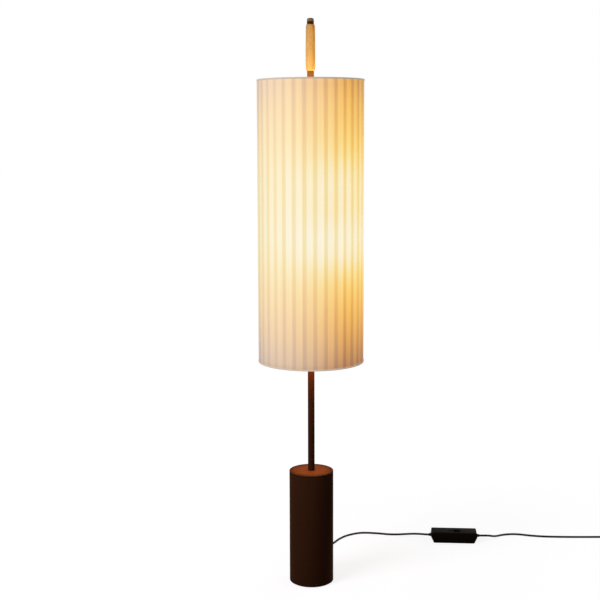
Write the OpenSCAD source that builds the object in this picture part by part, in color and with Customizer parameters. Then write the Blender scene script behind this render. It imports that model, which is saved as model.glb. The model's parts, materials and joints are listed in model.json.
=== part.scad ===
// Floor lamp with a ribbon shade: a weighted cylinder base, a hollow rod that runs up through the
// shade to a turned wooden carrying grip, two small globe bulbs on one side arm, and a mains lead
// with an inline slide dimmer. Millimetres, +Z up. The origin is the centre of the base on the floor,
// the lead leaves the base at the back (+Y) and runs to the right (+X).

/* [Base] */
// Outer diameter of the base cylinder
base_d = 118; // [112:1:160]
// Height of the base, floor to top face
base_h = 307; // [220:1:400]
// Wall of the base tube
base_wall = 2; // [1.5:0.5:3]
// Thickness of the visible rim of the disc that closes the top
top_rim_t = 5; // [3:0.5:8]
// Thickness of the visible rim of the plate that closes the bottom
bottom_rim_t = 3; // [2:0.5:5]
// Depth of the spigots by which both discs centre in the tube
spigot_t = 6; // [5:0.5:10]
// Thickness of the felt pad under the base
pad_t = 2; // [1:0.5:4]
// How far the felt pad stays inside the base's edge
pad_inset = 4; // [2:0.5:8]
// Height of the cast ballast weight
ballast_h = 100; // [60:5:140]
// Thread diameter of the three tie rods that hold the base together
tie_d = 5; // [4:0.5:6]
// Diameter of the circle that the tie rods stand on
tie_circle_d = 80; // [74:1:84]

/* [Rod] */
// Outer diameter of the rod
rod_d = 18; // [16:0.5:20]
// Wall of the rod
rod_wall = 1.5; // [1:0.25:2]
// Length of thread of the hollow nipple inside the rod
nipple_grip = 20; // [12:1:30]
// Bore of the hollow nipple
nipple_bore = 9; // [8:0.25:9.5]
// Height of the domed cap on the rod's end
cap_h = 8; // [5:0.5:10]
// How far the rod stands out of the grip, below its cap
rod_tip = 8; // [4:0.5:14]

/* [Grip] */
// Length of the wooden grip
grip_len = 118; // [90:1:150]
// Largest diameter of the grip
grip_d = 25; // [23:0.5:30]
// Diameter of the grip's two ends
grip_end_d = 20; // [19:0.5:22]
// Length of rod that shows between the shade and the grip
neck_h = 22; // [10:1:60]

/* [Shade] */
// Outer diameter of the shade
shade_d = 280; // [250:1:320]
// Height of the shade
shade_h = 740; // [640:1:800]
// Height of the shade's lower edge above the floor
shade_z = 605; // [520:1:680]
// Number of ribbons round the shade
ribbon_count = 32; // [24:1:40]
// Thickness of a stiffened ribbon
ribbon_t = 0.8; // [0.6:0.1:1.2]
// Air between two ribbons where they overlap
ribbon_gap = 0.4; // [0.3:0.1:0.8]
// Thickness of the hem folded over the shade's edges
hem_t = 0.5; // [0.4:0.1:1]
// Height of the hem's outer leg
hem_h = 4; // [3:0.5:8]
// Wire diameter of the two shade rings
ring_d = 5; // [3:0.5:6]
// Wire diameter of the spider arms
spider_arm_d = 4; // [3:0.5:5]
// Outer diameter of the spider hubs
hub_d = 30; // [28:1:36]
// Height of the spider hubs
hub_h = 10; // [8:1:14]
// Outer diameter of the collars that lock the spiders on the rod
collar_d = 28; // [26:1:34]
// Height of these collars
collar_h = 9; // [8:1:14]

/* [Light] */
// Height of the arm's axis above the floor
arm_z = 1007; // [900:1:1100]
// Distance of the bulbs' axis from the rod's axis
arm_reach = 45; // [42:1:60]
// Direction of the arm, seen from above, from +X
arm_turn = -60; // [-70:1:-50]
// Outer diameter of the arm's tube
arm_d = 12; // [11:0.5:13]
// Bore of the arm's tube
arm_bore = 8.4; // [8:0.1:9]
// Height of the arm's clamp and of its junction
arm_block_h = 16; // [15:0.5:22]
// Outer diameter of a lampholder
holder_d = 27; // [25:0.5:32]
// Length of a lampholder
holder_len = 42; // [38:1:50]
// Thickness of a lampholder's floor
holder_floor = 12; // [10:0.5:14]
// Diameter of a bulb's screw cap
screw_cap_d = 13.8; // [13:0.1:14]
// Length of a bulb's screw cap
screw_cap_len = 22; // [18:1:24]
// Diameter of a bulb's globe
globe_d = 45; // [40:1:48]
// Height of the globe's centre above the lampholder's mouth
globe_rise = 25; // [24:1:30]
// Glass thickness of a bulb
glass_t = 1; // [0.8:0.1:1.5]

/* [Lead] */
// Diameter of the mains lead
cord_d = 6; // [5:0.1:6.2]
// Height of the lead's exit above the floor
gland_z = 20; // [19:0.5:26]
// Thread diameter of the cord gland
gland_d = 12; // [11:0.5:14]
// Diameter of the gland's flange and of its nut
gland_flange_d = 18; // [16:0.5:20]
// Length of the tapered nose outside the gland's flange
gland_nose = 22; // [20:1:30]
// Centre-line spacing of the coiled turns
coil_pitch = 6.6; // [6.6:0.1:7.5]
// Centre-line radius of the coil's outermost turn
coil_r = 46; // [44:1:52]
// Width of the band that holds the coil together
cord_tie_w = 12; // [8:1:16]
// Thickness of this band
cord_tie_t = 0.8; // [0.6:0.1:1.2]

/* [Dimmer] */
// Length of the dimmer's case at its widest line
case_len = 136; // [120:1:150]
// Width of the case at its widest line
case_w = 54; // [48:1:64]
// Height of the case
case_h = 31; // [29:0.5:36]
// Height of the line where the two shells meet
case_split = 17; // [15:0.5:18]
// How much narrower each side is at the top and bottom
case_side_taper = 4; // [2:0.5:5]
// How much shorter each end is at the top
case_top_taper = 2; // [1:0.5:4]
// How much shorter each end is at the bottom
case_bottom_taper = 8; // [4:0.5:9]
// Wall of the case
case_wall = 2.2; // [1.6:0.1:2.6]
// Travel of the slider
slider_travel = 30; // [20:1:36]
// Place of the slider in the photograph, from the middle of its travel
slider_rest = 9; // [0:1:10]
// Length of the slider's knob
knob_len = 20; // [14:1:24]
// Width of the slider's knob
knob_w = 12; // [9:0.5:16]
// Height of the knob above the case
knob_h = 3; // [2:0.5:5]
// Length of the rubber sleeves where the lead enters the case
sleeve_nose = 7; // [5:0.5:12]

/* [Plug] */
// Width of the plug's body
plug_w = 35; // [32:1:38]
// Thickness of the plug's body
plug_t = 14; // [13:0.5:16]
// Length of the plug's body
plug_len = 34; // [30:1:40]
// Diameter of a pin
pin_d = 4; // [4:0.1:4.8]
// Length of a pin outside the body
pin_len = 19; // [17:0.5:20]
// Distance between the pins
pin_pitch = 18.6; // [17:0.1:19.2]

/* [Hidden] */
$fn = 96;

// Clearances
thread_gap = 0.1;   // radial, between a screw thread and its hole
slip_gap = 0.15;    // radial, between parts that slide over each other
seat_gap = 0.3;     // between pieces that rest on each other along a line
cut = 1;            // how far a cutting solid passes through the face it cuts

// Colours
brown = [0.17, 0.10, 0.06];
tan_wood = [0.84, 0.62, 0.36];
ribbon_cream = [0.98, 0.90, 0.74];
hem_grey = [0.77, 0.74, 0.68];
steel = [0.72, 0.72, 0.73];
brass = [0.80, 0.66, 0.32];
iron = [0.30, 0.30, 0.31];
felt = [0.12, 0.11, 0.10];
opal = [1.00, 0.96, 0.86];
white_plastic = [0.92, 0.91, 0.87];
black_plastic = [0.05, 0.05, 0.05];
lead_brown = [0.10, 0.07, 0.05];
board_green = [0.12, 0.35, 0.20];

// Base heights, from the floor up
plate_z = pad_t;
tube_z = plate_z + bottom_rim_t;
ballast_z = tube_z + spigot_t;
top_rim_z = base_h - top_rim_t;
top_disc_z = top_rim_z - spigot_t;
spigot_r = base_d / 2 - base_wall - slip_gap;

// Tie rods: nuts sit in pockets of the bottom plate, the upper ends screw into the top disc
tie_nut_af = 1.6 * tie_d;
tie_nut_t = 0.8 * tie_d;
tie_pocket_r = tie_nut_af / 2 / cos(30) + 0.5;
tie_pocket_h = tie_nut_t + 0.5;
tie_hole_h = spigot_t + top_rim_t - 2;
tie_angles = [30, 150, 270];

// Rod and nipple
rod_r = rod_d / 2;
rod_bore_r = rod_r - rod_wall;
nipple_r = rod_bore_r - thread_gap;
washer_t = 2;
nipple_nut_t = 7;
nipple_end = 4;
nipple_z = top_disc_z - washer_t - nipple_nut_t - nipple_end;
shade_top = shade_z + shade_h;
grip_z = shade_top + neck_h;
rod_top = grip_z + grip_len + rod_tip;
cap_spigot = 12;

// Shade: each ribbon starts at ribbon_r and leans in until it is tucked under its neighbour
hem_gap = 0.1;
ribbon_r = shade_d / 2 - hem_t - hem_gap;
ribbon_pitch = 360 / ribbon_count;
ribbon_lap = 1 / 3;                                // share of the pitch that is covered twice
ribbon_lean = (ribbon_t + ribbon_gap) * (1 + ribbon_lap);
ribbon_steps = 4;                                  // flats across one ribbon
ribbon_in_r = ribbon_r - ribbon_lean - ribbon_t;   // innermost face of the ribbons
ribbon_turn = -86.8 - ribbon_pitch * ribbon_lap / 2;  // a lap is centred 3.2 degrees right of the front
hem_leg = hem_h - 0.5;                             // height of the hem's inner leg
ring_r = ribbon_in_r - seat_gap - ring_d / 2;
ring_inset = hem_leg + 1 + ring_d / 2;
top_ring_z = shade_top - ring_inset;
bottom_ring_z = shade_z + ring_inset;
spider_angles = [0, 120, 240];
collar_screw_d = 4;
collar_screw_len = 6;

// Arm, lampholders and bulbs
arm_clamp_d = rod_d + 10;
arm_nipple_d = 10;
arm_nipple_bore = 6.5;
arm_nipple_in = arm_block_h / 2 - arm_bore / 2 - 0.3;  // depth of a nipple in the junction
arm_nipple_out = holder_floor - 2;                     // and in a lampholder
sleeve_wall = 0.7;
sleeve_r = screw_cap_d / 2 + thread_gap + sleeve_wall;
holder_mouth = arm_block_h / 2 + holder_len;           // distance of a mouth from the arm's axis
bulb_seat = 0.5;                                       // gap between the holder's mouth and the glass

// Gland and the lead inside the lamp
gland_bore = cord_d + 0.4;
gland_flange_t = 4;
gland_y = base_d / 2 + gland_flange_t + gland_nose;    // outer face of the nose
wall_in_r = base_d / 2 - base_wall;
gland_nut_y = sqrt(pow(wall_in_r, 2) - pow(gland_flange_d / 2, 2)) - 0.1;
gland_nut_t = 4;
gland_end_y = gland_nut_y - gland_nut_t - 2;
notch_w = gland_flange_d + 8;                          // notch of the ballast for nut and lead
notch_y = gland_end_y - 20;
lead_bend = 9;                                         // centre-line radius of the lead's bends
lead_rise_y = gland_end_y - 4 - lead_bend;             // where the lead goes up along the ballast

// Dimmer
case_x = 427;
case_y = 300;
case_turn = -4;
case_corner = 8;
slot_w = 3.4;
stem_len = 8;
stem_w = slot_w - 0.8;
slot_len = slider_travel + stem_len + 1;
knob_gap = 0.3;
lip_t = 1.2;
board_z = 9;
board_t = 1.6;
boss_r = 3.4;
screw_x = case_len / 2 - case_bottom_taper - 9;
screw_y = case_w / 2 - 11;
board_len = 2 * (screw_x - boss_r) - 2;
board_w = case_w - 18;
fader_h = 7;
case_screw_d = 3;
case_head_r = 2.7;
case_head_t = 2;
sleeve_in = 13;
dimmer_sleeve_r = cord_d / 2 + 2;
sleeve_flange_r = dimmer_sleeve_r + 1.5;
sleeve_flange_len = sleeve_in - case_wall - case_bottom_taper * sleeve_flange_r / case_split - 0.5;

// Floor height of the lead's centre line
cord_r = cord_d / 2;
cord_z = cord_r + 0.1;

// Places on the dimmer, from its own axes to the lamp's
function on_case(x, y, z) = [
    case_x + x * cos(case_turn) - y * sin(case_turn),
    case_y + x * sin(case_turn) + y * cos(case_turn),
    z
];
case_end = case_len / 2 + sleeve_nose;

// Route of the lead from the gland to the dimmer, and from the dimmer to the coil
exit_point = [0, gland_y, gland_z];
route_to_dimmer = [
    [0.5, 106, 18.2], [3, 132, 10.5], [9, 160, 4.6], [20, 192, cord_z], [42, 232, cord_z],
    [68, 274, cord_z], [88, 311, cord_z], [115, 341, cord_z], [153, 360, cord_z], [196, 357, cord_z],
    [236, 347, cord_z], [265, 344.5, 3.6], [288, 335, 8], [308, 321.5, 13.5], [329, 310, 16.8]
];
dimmer_in = on_case(-case_end, 0, case_split);
dimmer_out = on_case(case_end, 0, case_split);
route_to_coil = [
    [528, 296.5, 16], [547, 307, 10.5], [561, 323.5, 5.5], [578, 338, cord_z], [608, 344.5, cord_z],
    [634, 341, cord_z], [664, 331, cord_z], [704, 323, cord_z], [763, 319, cord_z],
    [820, 318, cord_z], [880, 318, cord_z]
];

// Coil: turns spiral in on the floor and out again on top, and climb where the spiral reverses.
// Both layers rise a little over the band that runs under them
coil_x = 935;
coil_y = 318 + coil_r;
turns_in = 3.25;
turns_out = 3;
turn_rings = 24;
coil_small_r = coil_r - turns_in * coil_pitch;
cord_tie_gap = 0.35;
cord_tie_turn = 0.75;                              // turns from the coil's start to the band
cord_tie_at = 360 * cord_tie_turn - 90;
cord_tie_lift = cord_tie_t + cord_tie_gap + cord_r - cord_z;
function smooth(t) = let (u = min(1, max(0, t))) u * u * (3 - 2 * u);
function coil_point(turn) = let (
    away = turn - turns_in,
    r = coil_small_r + coil_pitch * abs(away),
    a = 360 * turn - 90,
    from_tie = abs((a + 360) % 360 - cord_tie_at),
    lift = cord_tie_lift * smooth((80 - from_tie) / 60)
) [coil_x + r * cos(a), coil_y + r * sin(a), cord_z + lift + coil_pitch * smooth(0.5 + 2 * away)];
coil_turns = turns_in + turns_out;
coil_first = coil_point(0);
coil_last = coil_point(coil_turns);
coil_points = concat(
    [coil_first - [cord_d, 0, 0]],
    [for (i = [0 : coil_turns * turn_rings]) coil_point(i / turn_rings)],
    [coil_last + [0, cord_d, 0]]
);
coil_start = coil_points[0];
coil_end = coil_points[len(coil_points) - 1];

// Plug, lying flat behind the coil
plug_x = coil_end[0];
plug_relief_len = 24;
plug_relief_y = coil_end[1] + 60;
plug_y = plug_relief_y + plug_relief_len;
plug_z = plug_t / 2;

// Vector helpers
function unit(v) = v / norm(v);
function total(list, i = 0) = i < len(list) ? list[i] + total(list, i + 1) : 0;
function path_len(p) = total([for (i = [1 : len(p) - 1]) norm(p[i] - p[i - 1])]);

// Smooth curve through hand-set points, with `steps` stretches between two of them.
// The first and last points only steer it.
function spline_at(a, b, c, d, t) =
    0.5 * (2 * b + (c - a) * t + (2 * a - 5 * b + 4 * c - d) * t * t
        + (3 * b - a - 3 * c + d) * t * t * t);
function spline(p, steps) = concat(
    [for (i = [1 : len(p) - 3], k = [0 : steps - 1]) spline_at(p[i - 1], p[i], p[i + 1], p[i + 2], k / steps)],
    [p[len(p) - 2]]
);

// A lead that leaves `from` along `dir_a`, follows `route` and meets `to` along `dir_b`,
// straight for one diameter at both ends and never lower than the floor
function lead_path(from, dir_a, route, to, dir_b, steps) = concat(
    [from],
    [
        for (p = spline(concat([from, from + dir_a * cord_d], route, [to - dir_b * cord_d, to]), steps))
            [p[0], p[1], max(p[2], cord_z)]
    ],
    [to]
);
case_dir = [cos(case_turn), sin(case_turn), 0];
path_to_dimmer = lead_path(exit_point, [0, 1, 0], route_to_dimmer, dimmer_in, case_dir, 3);
path_to_coil = lead_path(dimmer_out, case_dir, route_to_coil, coil_start, [1, 0, 0], 2);
path_to_plug = lead_path(
    coil_end, [0, 1, 0],
    [coil_end + [0, 20, -2.6], [plug_x, plug_relief_y - 22, plug_z - 2.4]],
    [plug_x, plug_relief_y, plug_z], [0, 1, 0], 2
);

// Round bend in a vertical plane: starts at `from` along `dir_a`, ends along `dir_b`
function bend(from, dir_a, dir_b, r, steps) = [
    for (i = [1 : steps]) from + r * (sin(90 * i / steps) * dir_a + (1 - cos(90 * i / steps)) * dir_b)
];
arm_dir = [cos(arm_turn), sin(arm_turn), 0];
inner_path = concat(
    [exit_point, [0, lead_rise_y + lead_bend, gland_z]],
    bend([0, lead_rise_y + lead_bend, gland_z], [0, -1, 0], [0, 0, 1], lead_bend, 5),
    [
        [0, lead_rise_y, ballast_z + ballast_h * 0.5],
        [0, lead_rise_y, ballast_z + ballast_h],
        [0, lead_rise_y * 0.86, ballast_z + ballast_h + 30],
        [0, lead_rise_y * 0.5, ballast_z + ballast_h + 60],
        [0, lead_rise_y * 0.1, nipple_z - 25],
        [0, 0, nipple_z],
        [0, 0, (nipple_z + arm_z) / 2],
        [0, 0, arm_z - lead_bend]
    ],
    bend([0, 0, arm_z - lead_bend], [0, 0, 1], arm_dir, lead_bend, 5),
    [arm_dir * (arm_reach - cord_r) + [0, 0, arm_z]]
);

// Directions across a path that turn with it and never twist
function tangents(p) = let (n = len(p) - 1)
    [for (i = [0 : n]) unit(p[min(n, i + 1)] - p[max(0, i - 1)])];
function across(v, t) = unit(v - (v * t) * t);
function sides_along(t, first) =
    [for (i = 0, s = across(first, t[0]); i < len(t); i = i + 1, s = across(s, t[min(i, len(t) - 1)])) s];

// Round tube along a path, closed at both ends
module tube(path, r, sides, first) {
    t = tangents(path);
    s = sides_along(t, first);
    n = len(path);
    rings = [
        for (i = [0 : n - 1], k = [0 : sides - 1])
            let (a = 360 * k / sides)
            path[i] + r * (cos(a) * s[i] + sin(a) * cross(t[i], s[i]))
    ];
    walls = [
        for (i = [0 : n - 2], k = [0 : sides - 1], half = [0, 1])
            let (
                a = i * sides + k, b = i * sides + (k + 1) % sides,
                c = a + sides, d = b + sides
            )
            half == 0 ? [a, c, b] : [b, c, d]
    ];
    ends = [
        for (k = [1 : sides - 2], end = [0, 1])
            let (m = (n - 1) * sides)
            end == 0 ? [0, k, k + 1] : [m, m + k + 1, m + k]
    ];
    polyhedron(points = rings, faces = concat(walls, ends), convexity = 10);
}

// ---- Base -------------------------------------------------------------------------------------

module at_ties() {
    for (a = tie_angles) rotate([0, 0, a]) translate([tie_circle_d / 2, 0, 0]) children();
}

module hex_nut(af, h, hole_r) {
    difference() {
        cylinder(h = h, r = af / 2 / cos(30), $fn = 6);
        translate([0, 0, -cut]) cylinder(h = h + 2 * cut, r = hole_r);
    }
}

// Disc with a rim as wide as the base and a spigot that centres in the tube
module rimmed_disc(rim_t, edge) {
    cylinder(h = spigot_t + rim_t - edge, r = spigot_r);
    translate([0, 0, spigot_t]) cylinder(h = rim_t - edge, d = base_d);
    translate([0, 0, spigot_t + rim_t - edge]) cylinder(h = edge, r1 = base_d / 2, r2 = base_d / 2 - edge);
}

module floor_pad() {
    color(felt) cylinder(h = pad_t, r = base_d / 2 - pad_inset);
}

module base_bottom_plate() {
    color(brown) difference() {
        translate([0, 0, ballast_z]) mirror([0, 0, 1]) rimmed_disc(bottom_rim_t, 0.5);
        at_ties() {
            translate([0, 0, plate_z - cut]) cylinder(h = tie_pocket_h + cut, r = tie_pocket_r);
            translate([0, 0, plate_z]) cylinder(h = ballast_z, r = tie_d / 2 + slip_gap);
        }
    }
}

module base_tube() {
    color(brown) difference() {
        translate([0, 0, tube_z]) cylinder(h = top_rim_z - tube_z, d = base_d);
        translate([0, 0, tube_z - cut]) cylinder(h = base_h, r = wall_in_r);
        translate([0, 0, gland_z]) rotate([-90, 0, 0]) cylinder(h = base_d, r = gland_d / 2 + slip_gap);
    }
}

module base_top_disc() {
    color(brown) difference() {
        translate([0, 0, top_disc_z]) rimmed_disc(top_rim_t, 0.8);
        translate([0, 0, top_disc_z - cut]) cylinder(h = base_h, r = nipple_r + thread_gap);
        at_ties() translate([0, 0, top_disc_z - cut]) cylinder(h = tie_hole_h + cut, r = tie_d / 2 + thread_gap);
    }
}

module ballast_weight() {
    color(iron) difference() {
        translate([0, 0, ballast_z]) cylinder(h = ballast_h, r = wall_in_r - seat_gap);
        translate([-notch_w / 2, notch_y, ballast_z - cut]) cube([notch_w, base_d, ballast_h + 2 * cut]);
        at_ties() translate([0, 0, ballast_z - cut]) cylinder(h = ballast_h + 2 * cut, r = tie_d / 2 + slip_gap);
    }
}

module tie_rods() {
    rod_z = plate_z + 0.3;
    color(steel) at_ties() translate([0, 0, rod_z])
        cylinder(h = top_disc_z + tie_hole_h - 0.3 - rod_z, r = tie_d / 2);
}

module tie_rod_nuts() {
    color(steel) at_ties() translate([0, 0, plate_z + tie_pocket_h - tie_nut_t])
        hex_nut(tie_nut_af, tie_nut_t, tie_d / 2 + thread_gap);
}

// ---- Rod, cap and grip ------------------------------------------------------------------------

module rod_nipple() {
    color(brass) translate([0, 0, nipple_z]) difference() {
        cylinder(h = base_h + nipple_grip - nipple_z, r = nipple_r);
        translate([0, 0, -cut]) cylinder(h = base_h + nipple_grip, r = nipple_bore / 2);
    }
}

module nipple_washer() {
    color(steel) translate([0, 0, top_disc_z - washer_t]) difference() {
        cylinder(h = washer_t, r = nipple_r + 8);
        translate([0, 0, -cut]) cylinder(h = washer_t + 2 * cut, r = nipple_r + thread_gap);
    }
}

module nipple_nut() {
    color(steel) translate([0, 0, top_disc_z - washer_t - nipple_nut_t])
        hex_nut(2 * nipple_r + 7, nipple_nut_t, nipple_r + thread_gap);
}

module rod() {
    color(brown) difference() {
        translate([0, 0, base_h]) cylinder(h = rod_top - base_h, r = rod_r);
        translate([0, 0, base_h - cut]) cylinder(h = rod_top, r = rod_bore_r);
        translate([0, 0, arm_z]) rotate([0, 90, arm_turn]) cylinder(h = rod_d, r = arm_bore / 2);
    }
}

// Flat-topped dome with a quarter-round edge and a spigot in the rod's bore
module rod_cap() {
    edge = cap_h * 0.6;
    color(brown) translate([0, 0, rod_top]) rotate_extrude() polygon(concat(
        [[0, -cap_spigot], [rod_bore_r - thread_gap, -cap_spigot], [rod_bore_r - thread_gap, 0], [rod_r, 0]],
        [for (a = [0 : 15 : 90]) [rod_r - edge + edge * cos(a), cap_h - edge + edge * sin(a)]],
        [[0, cap_h]]
    ));
}

// Turned grip: fullest in its lower third, drawn in at both ends
function grip_r(t) = let (
    full = grip_d / 2 - 0.7 * pow(max(0, t - 0.3) / 0.7, 2),
    round_end = 0.1,
    from_end = min(t, 1 - t) / round_end
) grip_end_d / 2 + (full - grip_end_d / 2) * (from_end < 1 ? sqrt(1 - pow(1 - from_end, 2)) : 1);

module wooden_grip() {
    stops = [0, 0.01, 0.03, 0.06, 0.1, 0.2, 0.3, 0.45, 0.6, 0.75, 0.9, 0.94, 0.97, 0.99, 1];
    color(tan_wood) translate([0, 0, grip_z]) rotate_extrude() polygon(concat(
        [[rod_r + slip_gap, 0]],
        [for (t = stops) [grip_r(t), grip_len * t]],
        [[rod_r + slip_gap, grip_len]]
    ));
}

// ---- Arm, lampholders and bulbs ---------------------------------------------------------------

// The arm's own axes: X along the arm, origin on the rod's axis
module on_arm() {
    translate([0, 0, arm_z]) rotate([0, 0, arm_turn]) children();
}

// Does its children for the upper bulb (+1) or the lower one (-1), from the arm's axis upwards
module on_bulb_axis(side) {
    on_arm() translate([arm_reach, 0, 0]) mirror([0, 0, side < 0 ? 1 : 0]) children();
}

module lamp_arm() {
    color(brown) on_arm() difference() {
        union() {
            translate([0, 0, -arm_block_h / 2]) cylinder(h = arm_block_h, d = arm_clamp_d);
            rotate([0, 90, 0]) cylinder(h = arm_reach, d = arm_d);
            translate([arm_reach, 0, -arm_block_h / 2]) cylinder(h = arm_block_h, d = holder_d);
        }
        translate([0, 0, -arm_block_h]) cylinder(h = 2 * arm_block_h, r = rod_r + slip_gap);
        rotate([0, 90, 0]) cylinder(h = arm_reach, d = arm_bore);
        translate([arm_reach, 0, -arm_block_h]) cylinder(h = 2 * arm_block_h, d = arm_nipple_d + 2 * thread_gap);
        rotate([0, -90, 0]) cylinder(h = arm_clamp_d, r = collar_screw_d / 2 + thread_gap);
    }
}

module holder_nipples() {
    color(brass) for (side = [1, -1]) on_bulb_axis(side)
        translate([0, 0, arm_block_h / 2 - arm_nipple_in]) difference() {
            cylinder(h = arm_nipple_in + arm_nipple_out, d = arm_nipple_d);
            translate([0, 0, -cut]) cylinder(h = holder_len, d = arm_nipple_bore);
        }
}

module lampholder(side) {
    color(white_plastic) on_bulb_axis(side) translate([0, 0, arm_block_h / 2]) difference() {
        cylinder(h = holder_len, d = holder_d);
        translate([0, 0, holder_floor]) cylinder(h = holder_len, r = sleeve_r + thread_gap);
        translate([0, 0, -cut]) cylinder(h = arm_nipple_out + cut, d = arm_nipple_d + 2 * thread_gap);
        translate([0, 0, -cut]) cylinder(h = holder_len, d = arm_nipple_bore);
    }
}

module upper_lampholder() { lampholder(1); }

module lower_lampholder() { lampholder(-1); }

// Threaded metal sleeves inside the lampholders
module holder_sleeves() {
    color(brass) for (side = [1, -1]) on_bulb_axis(side)
        translate([0, 0, arm_block_h / 2 + holder_floor]) difference() {
            cylinder(h = holder_len - holder_floor - 3, r = sleeve_r);
            translate([0, 0, -cut]) cylinder(h = holder_len, r = sleeve_r - sleeve_wall);
        }
}

// Screw cap with its contact, standing on the lampholder's floor side
module bulb_cap(side) {
    contact_h = holder_len - holder_floor - screw_cap_len - 3;
    color(steel) on_bulb_axis(side) translate([0, 0, holder_mouth]) rotate_extrude() polygon([
        [0, -screw_cap_len - contact_h], [3, -screw_cap_len - contact_h],
        [screw_cap_d / 2 - 2, -screw_cap_len], [screw_cap_d / 2, -screw_cap_len + 2],
        [screw_cap_d / 2, bulb_seat], [0, bulb_seat]
    ]);
}

module upper_bulb_cap() { bulb_cap(1); }

module lower_bulb_cap() { bulb_cap(-1); }

// Hollow globe on a neck that starts at the screw cap
module bulb_globe(side) {
    neck_r = screw_cap_d / 2 + 1;
    function skin(inset) = let (
        r = globe_d / 2 - inset,
        low = -acos((neck_r - inset + 1.5) / r)
    ) concat(
        [[neck_r - inset, bulb_seat + inset]],
        [for (i = [0 : 16]) let (a = low + (90 - low) * i / 16) [r * cos(a), globe_rise + r * sin(a)]]
    );
    color(opal) on_bulb_axis(side) translate([0, 0, holder_mouth]) rotate_extrude() difference() {
        polygon(concat([[0, bulb_seat]], skin(0)));
        polygon(concat([[0, bulb_seat + glass_t]], skin(glass_t)));
    }
}

module upper_bulb_globe() { bulb_globe(1); }

module lower_bulb_globe() { bulb_globe(-1); }

// ---- Shade ------------------------------------------------------------------------------------

module wire_ring(z) {
    color(steel) translate([0, 0, z]) rotate_extrude() translate([ring_r, 0]) circle(d = ring_d, $fn = 32);
}

module shade_top_ring() { wire_ring(top_ring_z); }

module shade_bottom_ring() { wire_ring(bottom_ring_z); }

// Hub with three arms that reach the ring
module spider(z) {
    color(steel) translate([0, 0, z]) difference() {
        union() {
            translate([0, 0, -hub_h / 2]) cylinder(h = hub_h, d = hub_d);
            for (a = spider_angles) rotate([0, 90, a])
                cylinder(h = ring_r - ring_d / 2 - slip_gap, d = spider_arm_d);
        }
        translate([0, 0, -hub_h]) cylinder(h = 2 * hub_h, r = rod_r + slip_gap);
    }
}

module shade_top_spider() { spider(top_ring_z); }

module shade_bottom_spider() { spider(bottom_ring_z); }

// Collars press the two spiders apart and keep the ribbons taut
collar_centres = [top_ring_z - hub_h / 2 - collar_h / 2, bottom_ring_z + hub_h / 2 + collar_h / 2];
collar_screw_turn = 60;

module shade_collars() {
    color(steel) for (z = collar_centres) translate([0, 0, z]) difference() {
        translate([0, 0, -collar_h / 2]) cylinder(h = collar_h, d = collar_d);
        translate([0, 0, -collar_h]) cylinder(h = 2 * collar_h, r = rod_r + slip_gap);
        rotate([0, 90, collar_screw_turn]) cylinder(h = collar_d, r = collar_screw_d / 2 + thread_gap);
    }
}

module grub_screws() {
    module screw() { translate([0, 0, rod_r + 0.1]) cylinder(h = collar_screw_len - 1, d = collar_screw_d); }
    color(iron) {
        for (z = collar_centres) translate([0, 0, z]) rotate([0, 90, collar_screw_turn]) screw();
        on_arm() rotate([0, -90, 0]) screw();
    }
}

// One ribbon's section: an arc that leans in from ribbon_r by ribbon_lean
function ribbon_edge(inset) = [
    for (i = [0 : ribbon_steps])
        let (share = i / ribbon_steps, a = ribbon_pitch * (1 + ribbon_lap) * share, r = ribbon_r - ribbon_lean * share - inset)
        [r * cos(a), r * sin(a)]
];

module shade_ribbons() {
    outer = ribbon_edge(0);
    inner = ribbon_edge(ribbon_t);
    end = hem_t + hem_gap;
    color(ribbon_cream) for (i = [0 : ribbon_count - 1])
        rotate([0, 0, ribbon_turn + ribbon_pitch * i]) translate([0, 0, shade_z + end])
            linear_extrude(shade_h - 2 * end)
                polygon(concat(outer, [for (k = [ribbon_steps : -1 : 0]) inner[k]]));
}

// Channel-shaped hem over the ribbons' ends, opening downwards
module hem() {
    outer = shade_d / 2;
    inner = ribbon_in_r - hem_gap - hem_t;
    color(hem_grey) rotate_extrude($fn = 128) difference() {
        translate([inner, -hem_h]) square([outer - inner, hem_h]);
        translate([inner + hem_t, -hem_h - cut]) square([outer - inner - 2 * hem_t, hem_h + cut - hem_t]);
        translate([inner - cut, -hem_h - cut]) square([cut + hem_t + 0.01, hem_h - hem_leg + cut]);
    }
}

module shade_top_hem() { translate([0, 0, shade_top]) hem(); }

module shade_bottom_hem() { translate([0, 0, shade_z]) mirror([0, 0, 1]) hem(); }

// ---- Gland and lead ---------------------------------------------------------------------------

module cord_gland() {
    wall_out = base_d / 2;
    color(black_plastic) translate([0, 0, gland_z]) rotate([-90, 0, 0]) difference() {
        union() {
            translate([0, 0, gland_end_y]) cylinder(h = wall_out - gland_end_y + 1, d = gland_d);
            translate([0, 0, wall_out]) cylinder(h = gland_flange_t, d = gland_flange_d);
            translate([0, 0, wall_out + gland_flange_t]) cylinder(h = gland_nose, d1 = gland_d, d2 = cord_d + 3);
        }
        cylinder(h = gland_y + cut, d = gland_bore);
    }
}

module gland_nut() {
    color(black_plastic) translate([0, gland_nut_y, gland_z]) rotate([90, 0, 0])
        hex_nut(gland_flange_d * cos(30), gland_nut_t, gland_d / 2 + thread_gap);
}

module inner_lead() {
    color(lead_brown) tube(inner_path, cord_r, 10, [1, 0, 0]);
}

module cord_to_dimmer() {
    color(lead_brown) tube(path_to_dimmer, cord_r, 10, [1, 0, 0]);
}

module cord_to_coil() {
    color(lead_brown) tube(path_to_coil, cord_r, 10, [0, 1, 0]);
}

module cord_coil() {
    color(lead_brown) tube(coil_points, cord_r, 6, [0, 0, 1]);
}

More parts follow.
